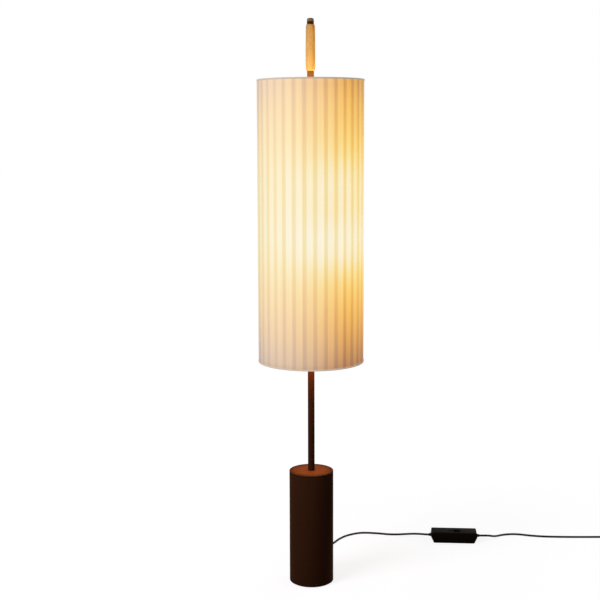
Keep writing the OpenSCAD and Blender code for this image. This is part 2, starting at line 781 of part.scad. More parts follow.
// Band round both layers of the coil, bent with its turns
module cord_tie() {
    radii = [
        for (k = [0 : coil_turns - 1])
            coil_small_r + coil_pitch * abs(cord_tie_turn + k - turns_in)
    ];
    turn = cord_tie_w / ((min(radii) + max(radii)) / 2) * 180 / PI;
    module section(grow) {
        hull() for (r = [min(radii), max(radii)], z = [0, coil_pitch])
            translate([r, cord_z + cord_tie_lift + z]) circle(cord_r + grow, $fn = 24);
    }
    color(black_plastic) translate([coil_x, coil_y, 0]) rotate([0, 0, cord_tie_at - turn / 2])
        rotate_extrude(angle = turn) difference() {
            section(cord_tie_gap + cord_tie_t);
            section(cord_tie_gap);
        }
}

module cord_to_plug() {
    color(lead_brown) tube(path_to_plug, cord_r, 10, [1, 0, 0]);
}

// ---- Dimmer -----------------------------------------------------------------------------------

module on_dimmer() {
    translate([case_x, case_y, 0]) rotate([0, 0, case_turn]) children();
}

// Flat rounded rectangle, smaller than the case's widest line by `end` and `side`
module case_slab(end, side) {
    l = case_len - 2 * end;
    w = case_w - 2 * side;
    r = max(2, case_corner - side);
    linear_extrude(0.01) hull() for (x = [-1, 1], y = [-1, 1])
        translate([x * (l / 2 - r), y * (w / 2 - r)]) circle(r, $fn = 24);
}

// Half of the case between the widest line at z = 0 and its smaller face at z = h
module case_half(h, end_taper, inset) {
    hull() {
        case_slab(inset, inset);
        translate([0, 0, h - 0.01]) case_slab(end_taper + inset, case_side_taper + inset);
    }
}

module at_case_screws() {
    for (x = [-1, 1], y = [-1, 1]) translate([x * screw_x, y * screw_y, 0]) children();
}

module sleeve_holes() {
    translate([-case_len, 0, case_split]) rotate([0, 90, 0])
        cylinder(h = 2 * case_len, r = dimmer_sleeve_r + slip_gap);
}

module dimmer_lower_shell() {
    head_z = case_head_t + 0.5;
    color(black_plastic) on_dimmer() difference() {
        union() {
            difference() {
                translate([0, 0, case_split]) mirror([0, 0, 1])
                    case_half(case_split, case_bottom_taper, 0);
                translate([0, 0, case_split + 0.01]) mirror([0, 0, 1])
                    case_half(case_split - case_wall, case_bottom_taper, case_wall);
            }
            at_case_screws() cylinder(h = case_split, r = boss_r);
            for (x = [-1, 1]) translate([x * board_len * 0.35 - 2, -board_w / 2 + 2, 1])
                cube([4, board_w - 4, board_z - 1]);
        }
        sleeve_holes();
        at_case_screws() {
            translate([0, 0, -cut]) cylinder(h = head_z + cut, r = case_head_r + 0.3);
            cylinder(h = case_h, r = case_screw_d / 2 + thread_gap);
        }
    }
}

module dimmer_upper_shell() {
    upper_h = case_h - case_split;
    screw_end = upper_h - case_wall - 1;
    color(black_plastic) on_dimmer() difference() {
        translate([0, 0, case_split]) {
            difference() {
                case_half(upper_h, case_top_taper, 0);
                translate([0, 0, -0.01]) case_half(upper_h - case_wall, case_top_taper, case_wall);
            }
            at_case_screws() cylinder(h = upper_h - 1, r = boss_r);
        }
        sleeve_holes();
        translate([0, 0, case_split - cut]) at_case_screws()
            cylinder(h = screw_end + cut, r = case_screw_d / 2 + thread_gap);
        translate([-slot_len / 2, -slot_w / 2, case_split]) cube([slot_len, slot_w, case_h]);
    }
}

// Circuit board with its slide fader, choke and capacitor
module dimmer_board() {
    color(board_green) on_dimmer() translate([0, 0, board_z]) {
        difference() {
            translate([-board_len / 2, -board_w / 2, 0]) cube([board_len, board_w, board_t]);
            for (x = [-1, 1]) translate([x * board_len * 0.44, 0, -cut]) cylinder(h = 3 * cut + board_t, d = 4);
        }
        translate([-slot_len / 2 - 3, -5, board_t - 0.01]) cube([slot_len + 6, 10, fader_h]);
        translate([-board_len / 2 + 7, 7, board_t - 0.01]) cylinder(h = 9, d = 12);
        translate([board_len / 2 - 16, 4, board_t - 0.01]) cube([10, 11, 8]);
        translate([board_len / 2 - 20, -15, board_t - 0.01]) cube([14, 8, 6]);
    }
}

// Four countersunk screws from below
module dimmer_screws() {
    head_z = 0.5;
    top = case_h - case_wall - 1.5;
    color(steel) on_dimmer() at_case_screws() {
        translate([0, 0, head_z]) cylinder(h = case_head_t, r = case_head_r);
        translate([0, 0, head_z]) cylinder(h = top - head_z, r = case_screw_d / 2);
    }
}

// Rubber sleeves round the lead where it enters the case
module dimmer_sleeves() {
    out = case_len / 2;
    color(black_plastic) on_dimmer() for (end = [0, 1]) mirror([end, 0, 0])
        translate([0, 0, case_split]) rotate([0, 90, 0]) difference() {
            union() {
                translate([0, 0, out - sleeve_in]) cylinder(h = sleeve_in, r = dimmer_sleeve_r);
                translate([0, 0, out - sleeve_in]) cylinder(h = sleeve_flange_len, r = sleeve_flange_r);
                translate([0, 0, out]) cylinder(h = sleeve_nose, r1 = dimmer_sleeve_r, r2 = cord_r + 0.8);
            }
            translate([0, 0, out - sleeve_in - cut]) cylinder(h = sleeve_in, r = cord_r);
        }
}

// Knob on a stem that runs in the slot, held from below by a foot
module dimmer_slider() {
    foot_t = 1.5;
    foot_z = case_h - case_wall - slip_gap - foot_t;
    color(black_plastic) on_dimmer() translate([slider_rest, 0, 0]) {
        translate([0, 0, case_h + knob_gap]) linear_extrude(knob_h) difference() {
            square([knob_len, knob_w], center = true);
            for (side = [-1, 1]) translate([0, side * (knob_w / 2 + 16)]) circle(16.6);
        }
        translate([-stem_len / 2, -stem_w / 2, foot_z]) cube([stem_len, stem_w, case_h + knob_gap - foot_z + 0.5]);
        translate([-stem_len / 2 - 1, -slot_w / 2 - lip_t, foot_z]) cube([stem_len + 2, slot_w + 2 * lip_t, foot_t]);
    }
}

// ---- Plug -------------------------------------------------------------------------------------

module on_plug() {
    translate([plug_x, plug_y, plug_z]) rotate([-90, 0, 0]) children();
}

// Tapered sleeve between the lead and the plug's body
module plug_relief() {
    color(black_plastic) translate([plug_x, plug_relief_y, plug_z]) rotate([-90, 0, 0])
        cylinder(h = plug_relief_len, r1 = cord_r + 0.8, r2 = cord_r + 2.2);
}

// Flat body, narrow at the lead and full width at the pins' face
module plug_body() {
    edge = 4;
    module section(w, t) {
        linear_extrude(0.01) hull() for (x = [-1, 1], y = [-1, 1])
            translate([x * (w / 2 - edge), y * (t / 2 - edge)]) circle(edge, $fn = 24);
    }
    color(black_plastic) on_plug() difference() {
        union() {
            hull() {
                section(plug_w * 0.5, plug_t - 1);
                translate([0, 0, plug_len * 0.45]) section(plug_w - 2, plug_t);
            }
            hull() {
                translate([0, 0, plug_len * 0.45]) section(plug_w - 2, plug_t);
                translate([0, 0, plug_len - 0.01]) section(plug_w, plug_t);
            }
        }
        for (x = [-1, 1]) translate([x * pin_pitch / 2, 0, plug_len - 10]) cylinder(h = 10 + cut, d = pin_d + 2 * thread_gap);
    }
}

module plug_pins() {
    color(brass) on_plug() for (x = [-1, 1]) translate([x * pin_pitch / 2, 0, plug_len - 9.9]) {
        cylinder(h = 9.9 + pin_len - pin_d / 2, d = pin_d);
        translate([0, 0, 9.9 + pin_len - pin_d / 2]) sphere(d = pin_d, $fn = 32);
    }
}

// ---- Measured on the points -------------------------------------------------------------------

// Least air between two stretches of the coil that are half a turn or more apart
coil_gap = min([
    for (i = [0 : len(coil_points) - 1])
        for (k = [i + turn_rings / 2 : 1 : len(coil_points) - 1])
            norm(coil_points[i] - coil_points[k])
]) - cord_d;
lead_total = path_len(path_to_dimmer) + path_len(path_to_coil) + path_len(coil_points) + path_len(path_to_plug);
union() {
    echo(coil_gap = coil_gap, across = 2 * (coil_small_r + coil_r) / 2);
    echo(lead_mm = lead_total, to_dimmer = path_len(path_to_dimmer), to_coil = path_len(path_to_coil),
        coil = path_len(coil_points), to_plug = path_len(path_to_plug));
    echo(rings = [len(path_to_dimmer), len(path_to_coil), len(path_to_plug), len(inner_path)]);
    echo(top = rod_top + cap_h, plug_ends = plug_y + plug_len + pin_len);
}

floor_pad();
base_bottom_plate();
base_tube();
base_top_disc();
ballast_weight();
tie_rods();
tie_rod_nuts();
rod_nipple();
nipple_washer();
nipple_nut();
rod();
rod_cap();
wooden_grip();
lamp_arm();
holder_nipples();
upper_lampholder();
lower_lampholder();
holder_sleeves();
upper_bulb_cap();
lower_bulb_cap();
upper_bulb_globe();
lower_bulb_globe();
shade_top_ring();
shade_bottom_ring();
shade_top_spider();
shade_bottom_spider();
shade_collars();
grub_screws();
shade_ribbons();
shade_top_hem();
shade_bottom_hem();
cord_gland();
gland_nut();
inner_lead();
cord_to_dimmer();
dimmer_lower_shell();
dimmer_upper_shell();
dimmer_board();
dimmer_screws();
dimmer_sleeves();
dimmer_slider();
cord_to_coil();
cord_coil();
cord_tie();
cord_to_plug();
plug_relief();
plug_body();
plug_pins();
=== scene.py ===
# %% [markdown]
# # A floor lamp with a shade of ribbons
#
# A packed model already holds every piece of this lamp at its true size. This lesson dresses that
# model in Blender: it adds the cloth of the shade and the mains lead, rounds the edges that a hand
# would feel, and gives every piece its finish and its light.
# Every length is in metres. The lamp stands on the floor at z = 0, its front faces -Y, and its lead
# runs off towards +X.

import json
import math

import bmesh
import bpy
from mathutils import Matrix, Vector

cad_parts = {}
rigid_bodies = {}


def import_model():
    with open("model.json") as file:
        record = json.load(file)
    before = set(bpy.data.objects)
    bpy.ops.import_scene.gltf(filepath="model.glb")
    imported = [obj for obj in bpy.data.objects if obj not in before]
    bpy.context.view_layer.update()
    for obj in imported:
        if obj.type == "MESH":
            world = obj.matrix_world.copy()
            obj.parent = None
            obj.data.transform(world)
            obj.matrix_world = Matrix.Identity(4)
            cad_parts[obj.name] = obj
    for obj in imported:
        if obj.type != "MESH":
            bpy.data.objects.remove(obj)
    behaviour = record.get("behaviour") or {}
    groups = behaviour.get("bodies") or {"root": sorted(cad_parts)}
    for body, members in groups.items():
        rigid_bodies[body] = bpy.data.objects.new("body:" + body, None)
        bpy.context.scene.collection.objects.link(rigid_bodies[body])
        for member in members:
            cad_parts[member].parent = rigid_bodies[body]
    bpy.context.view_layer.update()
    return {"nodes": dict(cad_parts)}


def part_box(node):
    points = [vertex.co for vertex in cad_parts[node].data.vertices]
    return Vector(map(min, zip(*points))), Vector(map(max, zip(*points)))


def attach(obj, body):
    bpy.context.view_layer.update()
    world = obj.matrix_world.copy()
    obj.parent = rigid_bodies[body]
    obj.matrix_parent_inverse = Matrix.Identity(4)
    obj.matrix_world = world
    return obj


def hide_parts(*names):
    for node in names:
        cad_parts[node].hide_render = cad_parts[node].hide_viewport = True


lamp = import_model()
nodes = lamp["nodes"]
MM = 0.001

# %% [markdown]
# ## The camera
#
# A camera is a place, a direction and a focal length. This one stands three metres in front of the
# lamp, level with its shade, and looks down a little, so the top of the base shows as a narrow
# ellipse. Its numbers were fitted until the lamp's edges fell where the picture has them.
# The picture's middle lies 30 pixels off the lens's own axis, which is what a camera's shift is for:
# it slides the picture and leaves upright lines upright.

# %% Place the camera
PICTURE_SIDE = 600  # pixels
FOCAL_PIXELS = 1152.5
SHIFT_PIXELS = -30
SENSOR_WIDTH = 36  # in millimetres, as Blender counts lenses
CAMERA_PLACE = Vector((-0.0288, -3.0187, 1.2030))
LOOKS_DOWN = math.radians(6.694)
ROLL = math.radians(-0.184)

stage_objects = bpy.context.scene.collection.objects


def add_to_scene(name, data):
    """An object that holds this mesh, curve, lamp or camera, linked into the scene."""
    added = bpy.data.objects.new(name, data)
    stage_objects.link(added)
    return added


camera = add_to_scene("camera", bpy.data.cameras.new("camera"))
camera.data.sensor_width = SENSOR_WIDTH
camera.data.lens = FOCAL_PIXELS * SENSOR_WIDTH / PICTURE_SIDE
camera.data.shift_y = SHIFT_PIXELS / PICTURE_SIDE
camera.matrix_world = (
    Matrix.Translation(CAMERA_PLACE)
    @ Matrix.Rotation(math.radians(90) - LOOKS_DOWN, 4, "X")
    @ Matrix.Rotation(ROLL, 4, "Z")
)
bpy.context.scene.camera = camera
bpy.context.scene.view_settings.view_transform = "Standard"
print("focal length:", round(camera.data.lens, 2), "mm")

# %% [markdown]
# ## Finishes as recipes
#
# A material in Blender is a tree of nodes that ends in one surface shader. The trees here are small,
# but there are many, so a helper keeps each recipe down to what matters: what the pattern is, how
# large it is, and what it changes. Patterns read object coordinates, which are metres on this lamp,
# so a scale of 1000 makes marks of about a millimetre on every piece.

# %% A helper for finishes
NOISE_LOW, NOISE_HIGH = 0.3, 0.7  # noise runs from 0 to 1, but mostly lies between these two
MIX_AMOUNT, MIX_FIRST, MIX_SECOND, MIX_RESULT = 0, 6, 7, 2  # a Mix node's sockets for colours


class Finish:
    """A material in the making, with short names for what its node tree needs."""

    def __init__(self, name):
        self.material = bpy.data.materials.new(name)
        self.material.use_nodes = True
        self.tree = self.material.node_tree
        self.surface = self.tree.nodes["Principled BSDF"]
        spot = self.add("TexCoord").outputs
        self.place, self.facing = spot["Object"], spot["Normal"]

    def feed(self, socket, value):
        """Sets a socket, or links it where the value is another node's output."""
        if isinstance(value, bpy.types.NodeSocket):
            self.tree.links.new(value, socket)
        else:
            socket.default_value = value

    def add(self, kind, inputs=(), **settings):
        """A new node with these inputs, by name or by number."""
        node = self.tree.nodes.new("ShaderNode" + kind)
        for name, value in settings.items():
            setattr(node, name, value)
        for name, value in dict(inputs).items():
            self.feed(node.inputs[name], value)
        return node

    def maths(self, operation, *values):
        """The result of one sum, such as "ADD" or "MULTIPLY"."""
        return self.add("Math", enumerate(values), operation=operation).outputs[0]

    def vector(self, operation, *values):
        """The result of one vector sum. A dot product and a length come out as a number."""
        node = self.add("VectorMath", enumerate(values), operation=operation)
        is_number = operation in ("DOT_PRODUCT", "LENGTH")
        return node.outputs["Value" if is_number else "Vector"]

    def apart(self, vector):
        """The three numbers that make up a vector."""
        return self.add("SeparateXYZ", {0: vector}).outputs

    def noise(self, scale, detail=2.0, stretch=(1, 1, 1)):
        """Soft random blotches, about 1/scale across. A stretch below 1 draws them out along that axis."""
        at = self.vector("MULTIPLY", self.place, stretch)
        return self.add("TexNoise", {"Vector": at, "Scale": scale, "Detail": detail}).outputs["Fac"]

    def ramp(self, amount, start, end, low=0.0, high=1.0):
        """low where amount is at start, high where it is at end, and in proportion between."""
        return self.add("MapRange", {0: amount, 1: start, 2: end, 3: low, 4: high}).outputs[0]

    def between(self, noise, low, high):
        """A noise that runs from low to high."""
        return self.ramp(noise, NOISE_LOW, NOISE_HIGH, low, high)

    def fade_out(self, distance, reach):
        """1 at no distance, and softly down to nothing beyond the reach."""
        squared = self.maths("POWER", self.maths("DIVIDE", distance, reach), 2.0)
        return self.maths("EXPONENT", self.maths("MULTIPLY", squared, -1.0))

    def blend(self, amount, first, second):
        """A colour between two, each given as three numbers or as another node's output."""
        first, second = (c if isinstance(c, bpy.types.NodeSocket) else (*c, 1) for c in (first, second))
        inputs = {MIX_AMOUNT: amount, MIX_FIRST: first, MIX_SECOND: second}
        return self.add("Mix", inputs, data_type="RGBA").outputs[MIX_RESULT]

    def bump(self, height, depth, strength):
        """Raises the surface by up to depth metres where height is 1."""
        inputs = {"Height": height, "Distance": depth, "Strength": strength}
        self.feed(self.surface.inputs["Normal"], self.add("Bump", inputs).outputs["Normal"])

    def set(self, **sockets):
        """Sets the surface's own sockets. Base_Color stands for Base Color, and so on."""
        for name, value in sockets.items():
            self.feed(self.surface.inputs[name.replace("_", " ")], value)


def wear(finish, *names):
    """Gives packed pieces, by name, or new pieces their finish."""
    for name in names:
        piece = nodes[name] if isinstance(name, str) else name
        piece.data.materials.clear()
        piece.data.materials.append(finish.material)
    print(finish.material.name, "is on", len(names), "pieces")


print("a finish can:", ", ".join(name for name in vars(Finish) if not name.startswith("_")))

# %% [markdown]
# ## The mains lead
#
# A lead is one fixed length of cable: it leaves the base through a gland, drops to the floor, wanders
# to the dimmer and runs on to its plug. Its centre line comes first, as points on one smooth curve,
# because their length can be read off and kept honest. Then a ring of corners is carried along the
# line without twisting and joined up into a tube.
# What the picture doesn't show is wound up beyond its right edge, held by a rubber band.

# %% A smooth line through a route
LEAD_R = 3 * MM
FLOOR = 3.1  # height of the lead's centre where it lies on the floor, in millimetres as the routes are
FLOOR_R = FLOOR * MM
STEPS_BETWEEN = 8  # points from one mark of a route to the next


def lead_line(start, heading, route, end, arriving):
    """Points along a smooth curve through a route, straight at both ends and never in the floor."""
    straight = 2 * LEAD_R
    marks = [start, start + heading * straight]
    marks += [Vector(point) * MM for point in route]
    marks += [end - arriving * straight, end]
    points = [start]
    # Each stretch runs from a to b, and bends to suit the marks before and after it.
    for before, a, b, after in zip(marks, marks[1:], marks[2:], marks[3:]):
        for t in (k / STEPS_BETWEEN for k in range(STEPS_BETWEEN)):
            soft = (2 * a + (b - before) * t + (2 * before - 5 * a + 4 * b - after) * t**2) / 2
            points.append(soft + (3 * a - before - 3 * b + after) * t**3 / 2)
    points += [marks[-2], end]
    return [Vector((p.x, p.y, max(p.z, FLOOR_R))) for p in points]


print("a lead lies with its centre", FLOOR, "mm above the floor")

# %% A tube along a line
LEAD_SIDES = 18


def lead_piece(name, points):
    """A round cable along these points."""
    build = bmesh.new()
    across = None
    rings = []
    for before, here, after in zip(points[:1] + points, points, points[1:] + points[-1:]):
        along = (after - before).normalized()
        across = along.orthogonal() if across is None else across - across.dot(along) * along
        across.normalize()
        other = along.cross(across)
        ring = []
        for k in range(LEAD_SIDES):
            a = 2 * math.pi * k / LEAD_SIDES
            ring.append(build.verts.new(here + LEAD_R * (math.cos(a) * across + math.sin(a) * other)))
        rings.append(ring)
    for lower, upper in zip(rings, rings[1:]):
        for k in range(LEAD_SIDES):
            n = (k + 1) % LEAD_SIDES
            build.faces.new((lower[k], lower[n], upper[n], upper[k])).smooth = True
    build.faces.new(rings[0][::-1])
    build.faces.new(rings[-1])
    length = sum((b - a).length for a, b in zip(points, points[1:]))
    print(name, "is", round(length, 3), "m long, with", len(points), "points")
    return built(name, build)


def built(name, build):
    """The object that a finished build becomes."""
    mesh = bpy.data.meshes.new(name)
    build.to_mesh(mesh)
    build.free()
    return add_to_scene(name, mesh)


# %% The stretch from the base to the dimmer
GLAND_MOUTH = Vector((0, 85, 20)) * MM
DIMMER_LEFT = Vector((352.18, 305.23, 17)) * MM
DIMMER_RIGHT = Vector((501.82, 294.77, 17)) * MM
CASE_TURN = math.radians(-4)  # how the dimmer is turned on the floor
ALONG_CASE = Vector((math.cos(CASE_TURN), math.sin(CASE_TURN), 0))
SHEATH_INSIDE = 25 * MM  # the sheath runs on through the rubber sleeve and ends inside the case
ROUTE_TO_DIMMER = [
    (0.5, 106, 18.2), (3, 132, 10.5), (9, 160, 4.6), (20, 192, FLOOR), (42, 232, FLOOR),
    (68, 274, FLOOR), (88, 311, FLOOR), (115, 341, FLOOR), (153, 360, FLOOR), (196, 357, FLOOR),
    (236, 347, FLOOR), (265, 344.5, 3.6), (288, 335, 8), (308, 321.5, 13.5), (329, 310, 16.8),
]  # fmt: skip
to_dimmer = lead_line(GLAND_MOUTH, Vector((0, 1, 0)), ROUTE_TO_DIMMER, DIMMER_LEFT, ALONG_CASE)
to_dimmer.append(DIMMER_LEFT + SHEATH_INSIDE * ALONG_CASE)
lead_to_dimmer = lead_piece("lead_to_dimmer", to_dimmer)

# %% [markdown]
# ## The coil
#
# Spare lead is wound up and held by a band. The coil here is wound by a rule rather than drawn: the
# turns run inwards on the floor, climb where the spiral turns back, and run outwards on top. So every
# turn lies a lead's width from the next, and the number of turns sets the length.

# %% Wind the coil
COIL_CENTRE = Vector((935, 364, 0)) * MM
COIL_SMALL_R = 24.55 * MM
COIL_PITCH = 6.6 * MM  # turns lie beside and on each other, just clear
COIL_STARTS = -90  # degrees, where the lead comes in along +X
TURNS_IN, TURNS_OUT = 3.25, 3
CLIMB_TURNS = 0.5
POINTS_A_TURN = 32
BAND_ANGLE = 180  # where the rubber band runs under the turns
BAND_LIFT, BAND_REACH, BAND_SLOPE = 1.05 * MM, 80, 60  # it lifts them this much, over these degrees


def ease(t):
    """0 to 1 along a soft S, for t from 0 to 1."""
    t = min(1, max(0, t))
    return t * t * (3 - 2 * t)


def coil_point(turn):
    """The lead's centre after this many turns."""
    away = turn - TURNS_IN
    r = COIL_SMALL_R + COIL_PITCH * abs(away)
    angle = 360 * turn + COIL_STARTS
    from_band = abs((angle + 360) % 360 - BAND_ANGLE)
    lift = BAND_LIFT * ease((BAND_REACH - from_band) / BAND_SLOPE)
    z = FLOOR_R + lift + COIL_PITCH * ease(0.5 + away / CLIMB_TURNS)
    a = math.radians(angle)
    return COIL_CENTRE + Vector((r * math.cos(a), r * math.sin(a), z))


turn_count = int((TURNS_IN + TURNS_OUT) * POINTS_A_TURN)
coil = [coil_point(i / POINTS_A_TURN) for i in range(turn_count + 1)]
coil_start = coil[0] - Vector((2 * LEAD_R, 0, 0))
coil_end = coil[-1] + Vector((0, 2 * LEAD_R, 0))
print("the coil has", TURNS_IN + TURNS_OUT, "turns and starts at", tuple(round(k, 3) for k in coil_start))

# %% The stretch from the dimmer through the coil to the plug
ROUTE_TO_COIL = [
    (528, 296.5, 16), (547, 307, 10.5), (561, 323.5, 5.5), (578, 338, FLOOR), (608, 344.5, FLOOR),
    (634, 341, FLOOR), (664, 331, FLOOR), (704, 323, FLOOR), (763, 319, FLOOR),
    (820, 318, FLOOR), (880, 318, FLOOR),
]  # fmt: skip
RELIEF_MOUTH = Vector((979.35, 430, 7)) * MM
ROUTE_TO_PLUG = [coil_end / MM + Vector((0, 20, -2.6)), (979.35, 408, 4.6)]  # down off the coil's top
to_coil = lead_line(DIMMER_RIGHT, ALONG_CASE, ROUTE_TO_COIL, coil_start, Vector((1, 0, 0)))
to_plug = lead_line(coil_end, Vector((0, 1, 0)), ROUTE_TO_PLUG, RELIEF_MOUTH, Vector((0, 1, 0)))
to_plug_whole = to_coil[:-1] + coil + to_plug[1:]
lead_to_plug = lead_piece("lead_to_plug", to_plug_whole)

# %% [markdown]
# ## The ribbons
#
# The shade is thirty-two woven ribbons side by side, drawn straight from the top ring to the bottom
# one. Each laps a third of its pitch over the next, so where two lie on each other less light comes
# through: those are the darker stripes.
# One cylinder with a striped picture would look right only from far off. Here each ribbon is its own
# thin closed sheet, with a thicker woven edge down both sides and the slight unevenness of cloth under
# tension.

# %% Measures of the shade
RIBBONS = 32
RIBBON_PITCH = math.radians(360 / RIBBONS)
RIBBON_SPAN = math.radians(15)  # how far round one ribbon reaches
FIRST_RIBBON = math.radians(-88.0)
RIBBON_R = 139.4 * MM  # outer face, at the edge that lies on top
RIBBON_LEAN = 1.6 * MM  # how much nearer the axis its other edge is
RIBBON_HALF_T = 0.4 * MM
SHADE_BOTTOM, SHADE_TOP = 0.605, 1.345
HEM_ROOM = 0.6 * MM  # the ribbons end this far inside the hems
EDGE_MARKS = [(0, 0.4), (0.008, 0.8), (0.022, 1), (0.04, 0.98), (0.06, 0.8)]  # place across, thickness
ACROSS = EDGE_MARKS + [(0.15, 0.76), (0.25, 0.76), (0.38, 0.76), (0.5, 0.76)]
ACROSS += [(1 - place, thick) for place, thick in reversed(ACROSS[:-1])]
RIBBON_ROWS = 48
WAVE_HEIGHT, HALF_WAVES_UP = 0.07 * MM, 6.2
WAVE_SHIFT = 2.4  # radians from one ribbon's wave to the next one's
print("each ribbon laps", round(RIBBON_SPAN / RIBBON_PITCH - 1, 2), "of a pitch over the next")


# %% Build one ribbon
def mapped_face(build, flat_map, corners):
    """A face through corners that each hold a vertex, its place across and its place upwards."""
    face = build.faces.new([vert for vert, _, _ in corners])
    for loop, (_, across, up) in zip(face.loops, corners):
        loop[flat_map].uv = (across, up)
    return face


def ribbon_mesh(index):
    """A closed thin sheet, and a map of it: 0 to 1 across and 0 to 1 upwards."""
    start = FIRST_RIBBON + RIBBON_PITCH * index
    low, high = SHADE_BOTTOM + HEM_ROOM, SHADE_TOP - HEM_ROOM
    build = bmesh.new()
    flat_map = build.loops.layers.uv.new("ribbon_map")
    rounds = []
    for row in range(RIBBON_ROWS + 1):
        up = row / RIBBON_ROWS
        free = 4 * up * (1 - up)  # 0 at the hems, which hold the cloth, and 1 halfway
        side = []
        for face in (1, -1):
            marks = ACROSS if face > 0 else ACROSS[::-1]
            for across, thick in marks:
                wave = math.sin(HALF_WAVES_UP * up * math.pi + index * WAVE_SHIFT)
                wave *= math.cos(across * math.pi)
                r = RIBBON_R - RIBBON_HALF_T - RIBBON_LEAN * across
                r += face * thick * RIBBON_HALF_T + WAVE_HEIGHT * free * wave
                a = start + RIBBON_SPAN * across
                place = (r * math.cos(a), r * math.sin(a), low + (high - low) * up)
                side.append((build.verts.new(place), across, up))
        rounds.append(side)
    count = len(rounds[0])
    for lower, upper in zip(rounds, rounds[1:]):
        for k in range(count):
            n = (k + 1) % count
            mapped_face(build, flat_map, [lower[k], lower[n], upper[n], upper[k]]).smooth = True
    for ring, upwards in ((rounds[0], False), (rounds[-1], True)):
        for k in range(count // 2 - 1):
            corners = [ring[k], ring[k + 1], ring[count - 2 - k], ring[count - 1 - k]]
            mapped_face(build, flat_map, corners if upwards else corners[::-1])
    bmesh.ops.recalc_face_normals(build, faces=build.faces)
    return built(f"shade_ribbon_{index + 1:02d}", build)


# %% Hang all the ribbons
ribbons = [ribbon_mesh(index) for index in range(RIBBONS)]
for ribbon in ribbons:
    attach(ribbon, "lamp")
    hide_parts("shade_ribbons")
print("ribbons:", len(ribbons), "faces each:", len(ribbons[0].data.polygons))

# %% [markdown]
# ## The hems
#
# A narrow tape is folded over the ribbons' ends and holds them to one round. It is a strip of cloth
# eleven millimetres wide, folded lengthways into a channel. A flat strip could be bent round the ring
# and folded by a modifier, but its section is the same all the way, so it is drawn once and spun round
# the axis.


# %% Spin a section round the axis
TURN_STEPS = 256


def spun(name, section):
    """A closed section of (radius, height) pairs, turned once round the lamp's axis."""
    build = bmesh.new()
    rounds = []
    for step in range(TURN_STEPS):
        a = 2 * math.pi * step / TURN_STEPS
        ring = [build.verts.new((r * math.cos(a), r * math.sin(a), z)) for r, z in section]
        rounds.append(ring)
    for here, there in zip(rounds, rounds[1:] + rounds[:1]):
        for k in range(len(section)):
            n = (k + 1) % len(section)
            build.faces.new((here[k], there[k], there[n], here[n])).smooth = True
    bmesh.ops.recalc_face_normals(build, faces=build.faces)
    print(name, "has", len(build.faces), "faces")
    return built(name, build)


# %% Fold the two hems
HEM_OUT_R, HEM_MIDDLE_R, HEM_IN_R = 140 * MM, 138 * MM, 136.4 * MM
HEM_T = 0.5 * MM
HEM_FOLD = 0.8 * MM  # how round the fold is
FOLD_STEPS = 4
OUTER_LEG, INNER_LEG = 4 * MM, 3.5 * MM


def hem_section(edge, way):
    """The folded tape's outline. edge is the fold's height, and way is 1 where it opens downwards."""
    outer, inner = [], []
    faces = ((outer, HEM_FOLD), (inner, HEM_FOLD - HEM_T))
    turns = [math.radians(90 * k / FOLD_STEPS) for k in range(FOLD_STEPS + 1)]
    for a in turns:
        for line, fold in faces:
            out = HEM_OUT_R - HEM_FOLD + fold * math.cos(a)
            line.append((out, edge - way * (HEM_FOLD - fold * math.sin(a))))
    for a in turns:
        for line, fold in faces:
            out = HEM_IN_R + HEM_FOLD - fold * math.sin(a)
            line.append((out, edge - way * (HEM_FOLD - fold * math.cos(a))))
    start_out, end_in = edge - way * OUTER_LEG, edge - way * INNER_LEG
    outside = [(HEM_OUT_R, start_out), *outer, (HEM_IN_R, end_in)]
    inside = [(HEM_OUT_R - HEM_T, start_out), *inner, (HEM_IN_R + HEM_T, end_in)]
    return outside + inside[::-1]


hems = []
for where, edge, way in (("top", SHADE_TOP, 1), ("bottom", SHADE_BOTTOM, -1)):
    hem = spun(f"shade_{where}_hem_tape", hem_section(edge, way))
    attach(hem, "lamp")
    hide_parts(f"shade_{where}_hem")
    hems.append(hem)

# %% [markdown]
# ## Eased edges
#
# A cut tube, a moulded case and a plug have no knife edges: sheet steel is deburred before it is
# coated, and plastic leaves its mould with a small radius. Those radii catch a thin line of light, and
# that line is most of what tells an eye that a part is real. A bevel modifier rounds every edge that
# turns sharply. It needs clean faces, so the packed mesh is copied, its doubled corners are joined and
# its flat faces are put together first. Where two eased edges meet, the groove between them shows.

# %% Round the edges that a hand would feel
SHARP, FLAT = math.radians(35), math.radians(2)
SAME_CORNER = 0.01 * MM
EDGE_STEPS = 3


def eased(name, radius, body="lamp"):
    """A copy of a packed piece with its sharp edges rounded to this radius, in place of the piece."""
    build = bmesh.new()
    build.from_mesh(nodes[name].data)
    bmesh.ops.remove_doubles(build, verts=build.verts, dist=SAME_CORNER)
    bmesh.ops.dissolve_limit(build, angle_limit=FLAT, verts=build.verts, edges=build.edges)
    for face in build.faces:
        face.smooth = True
    print(name, "has", len(build.faces), "faces to ease")
    piece = built("eased_" + name, build)
    edge = piece.modifiers.new("eased_edges", "BEVEL")
    edge.width, edge.segments, edge.angle_limit, edge.harden_normals = radius, EDGE_STEPS, SHARP, True
    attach(piece, body)
    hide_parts(name)
    return piece


top_disc = eased("base_top_disc", radius=1.2 * MM)
base_shell = eased("base_tube", radius=0.5 * MM)
bottom_plate = eased("base_bottom_plate", radius=0.8 * MM)
case_top = eased("dimmer_upper_shell", radius=0.7 * MM)
case_bottom = eased("dimmer_lower_shell", radius=0.7 * MM)
knob = eased("dimmer_slider", radius=0.5 * MM, body="slider")
plug = eased("plug_body", radius=1.0 * MM)

# %% [markdown]
# ## Ridges on the knob
#
# The dimmer's knob has small ridges across it, so that a fingertip doesn't slip. A bump in its finish
# would shade like ridges but leave the outline flat, so they are real half-round bars. They ride on
# the slider, as the knob does.

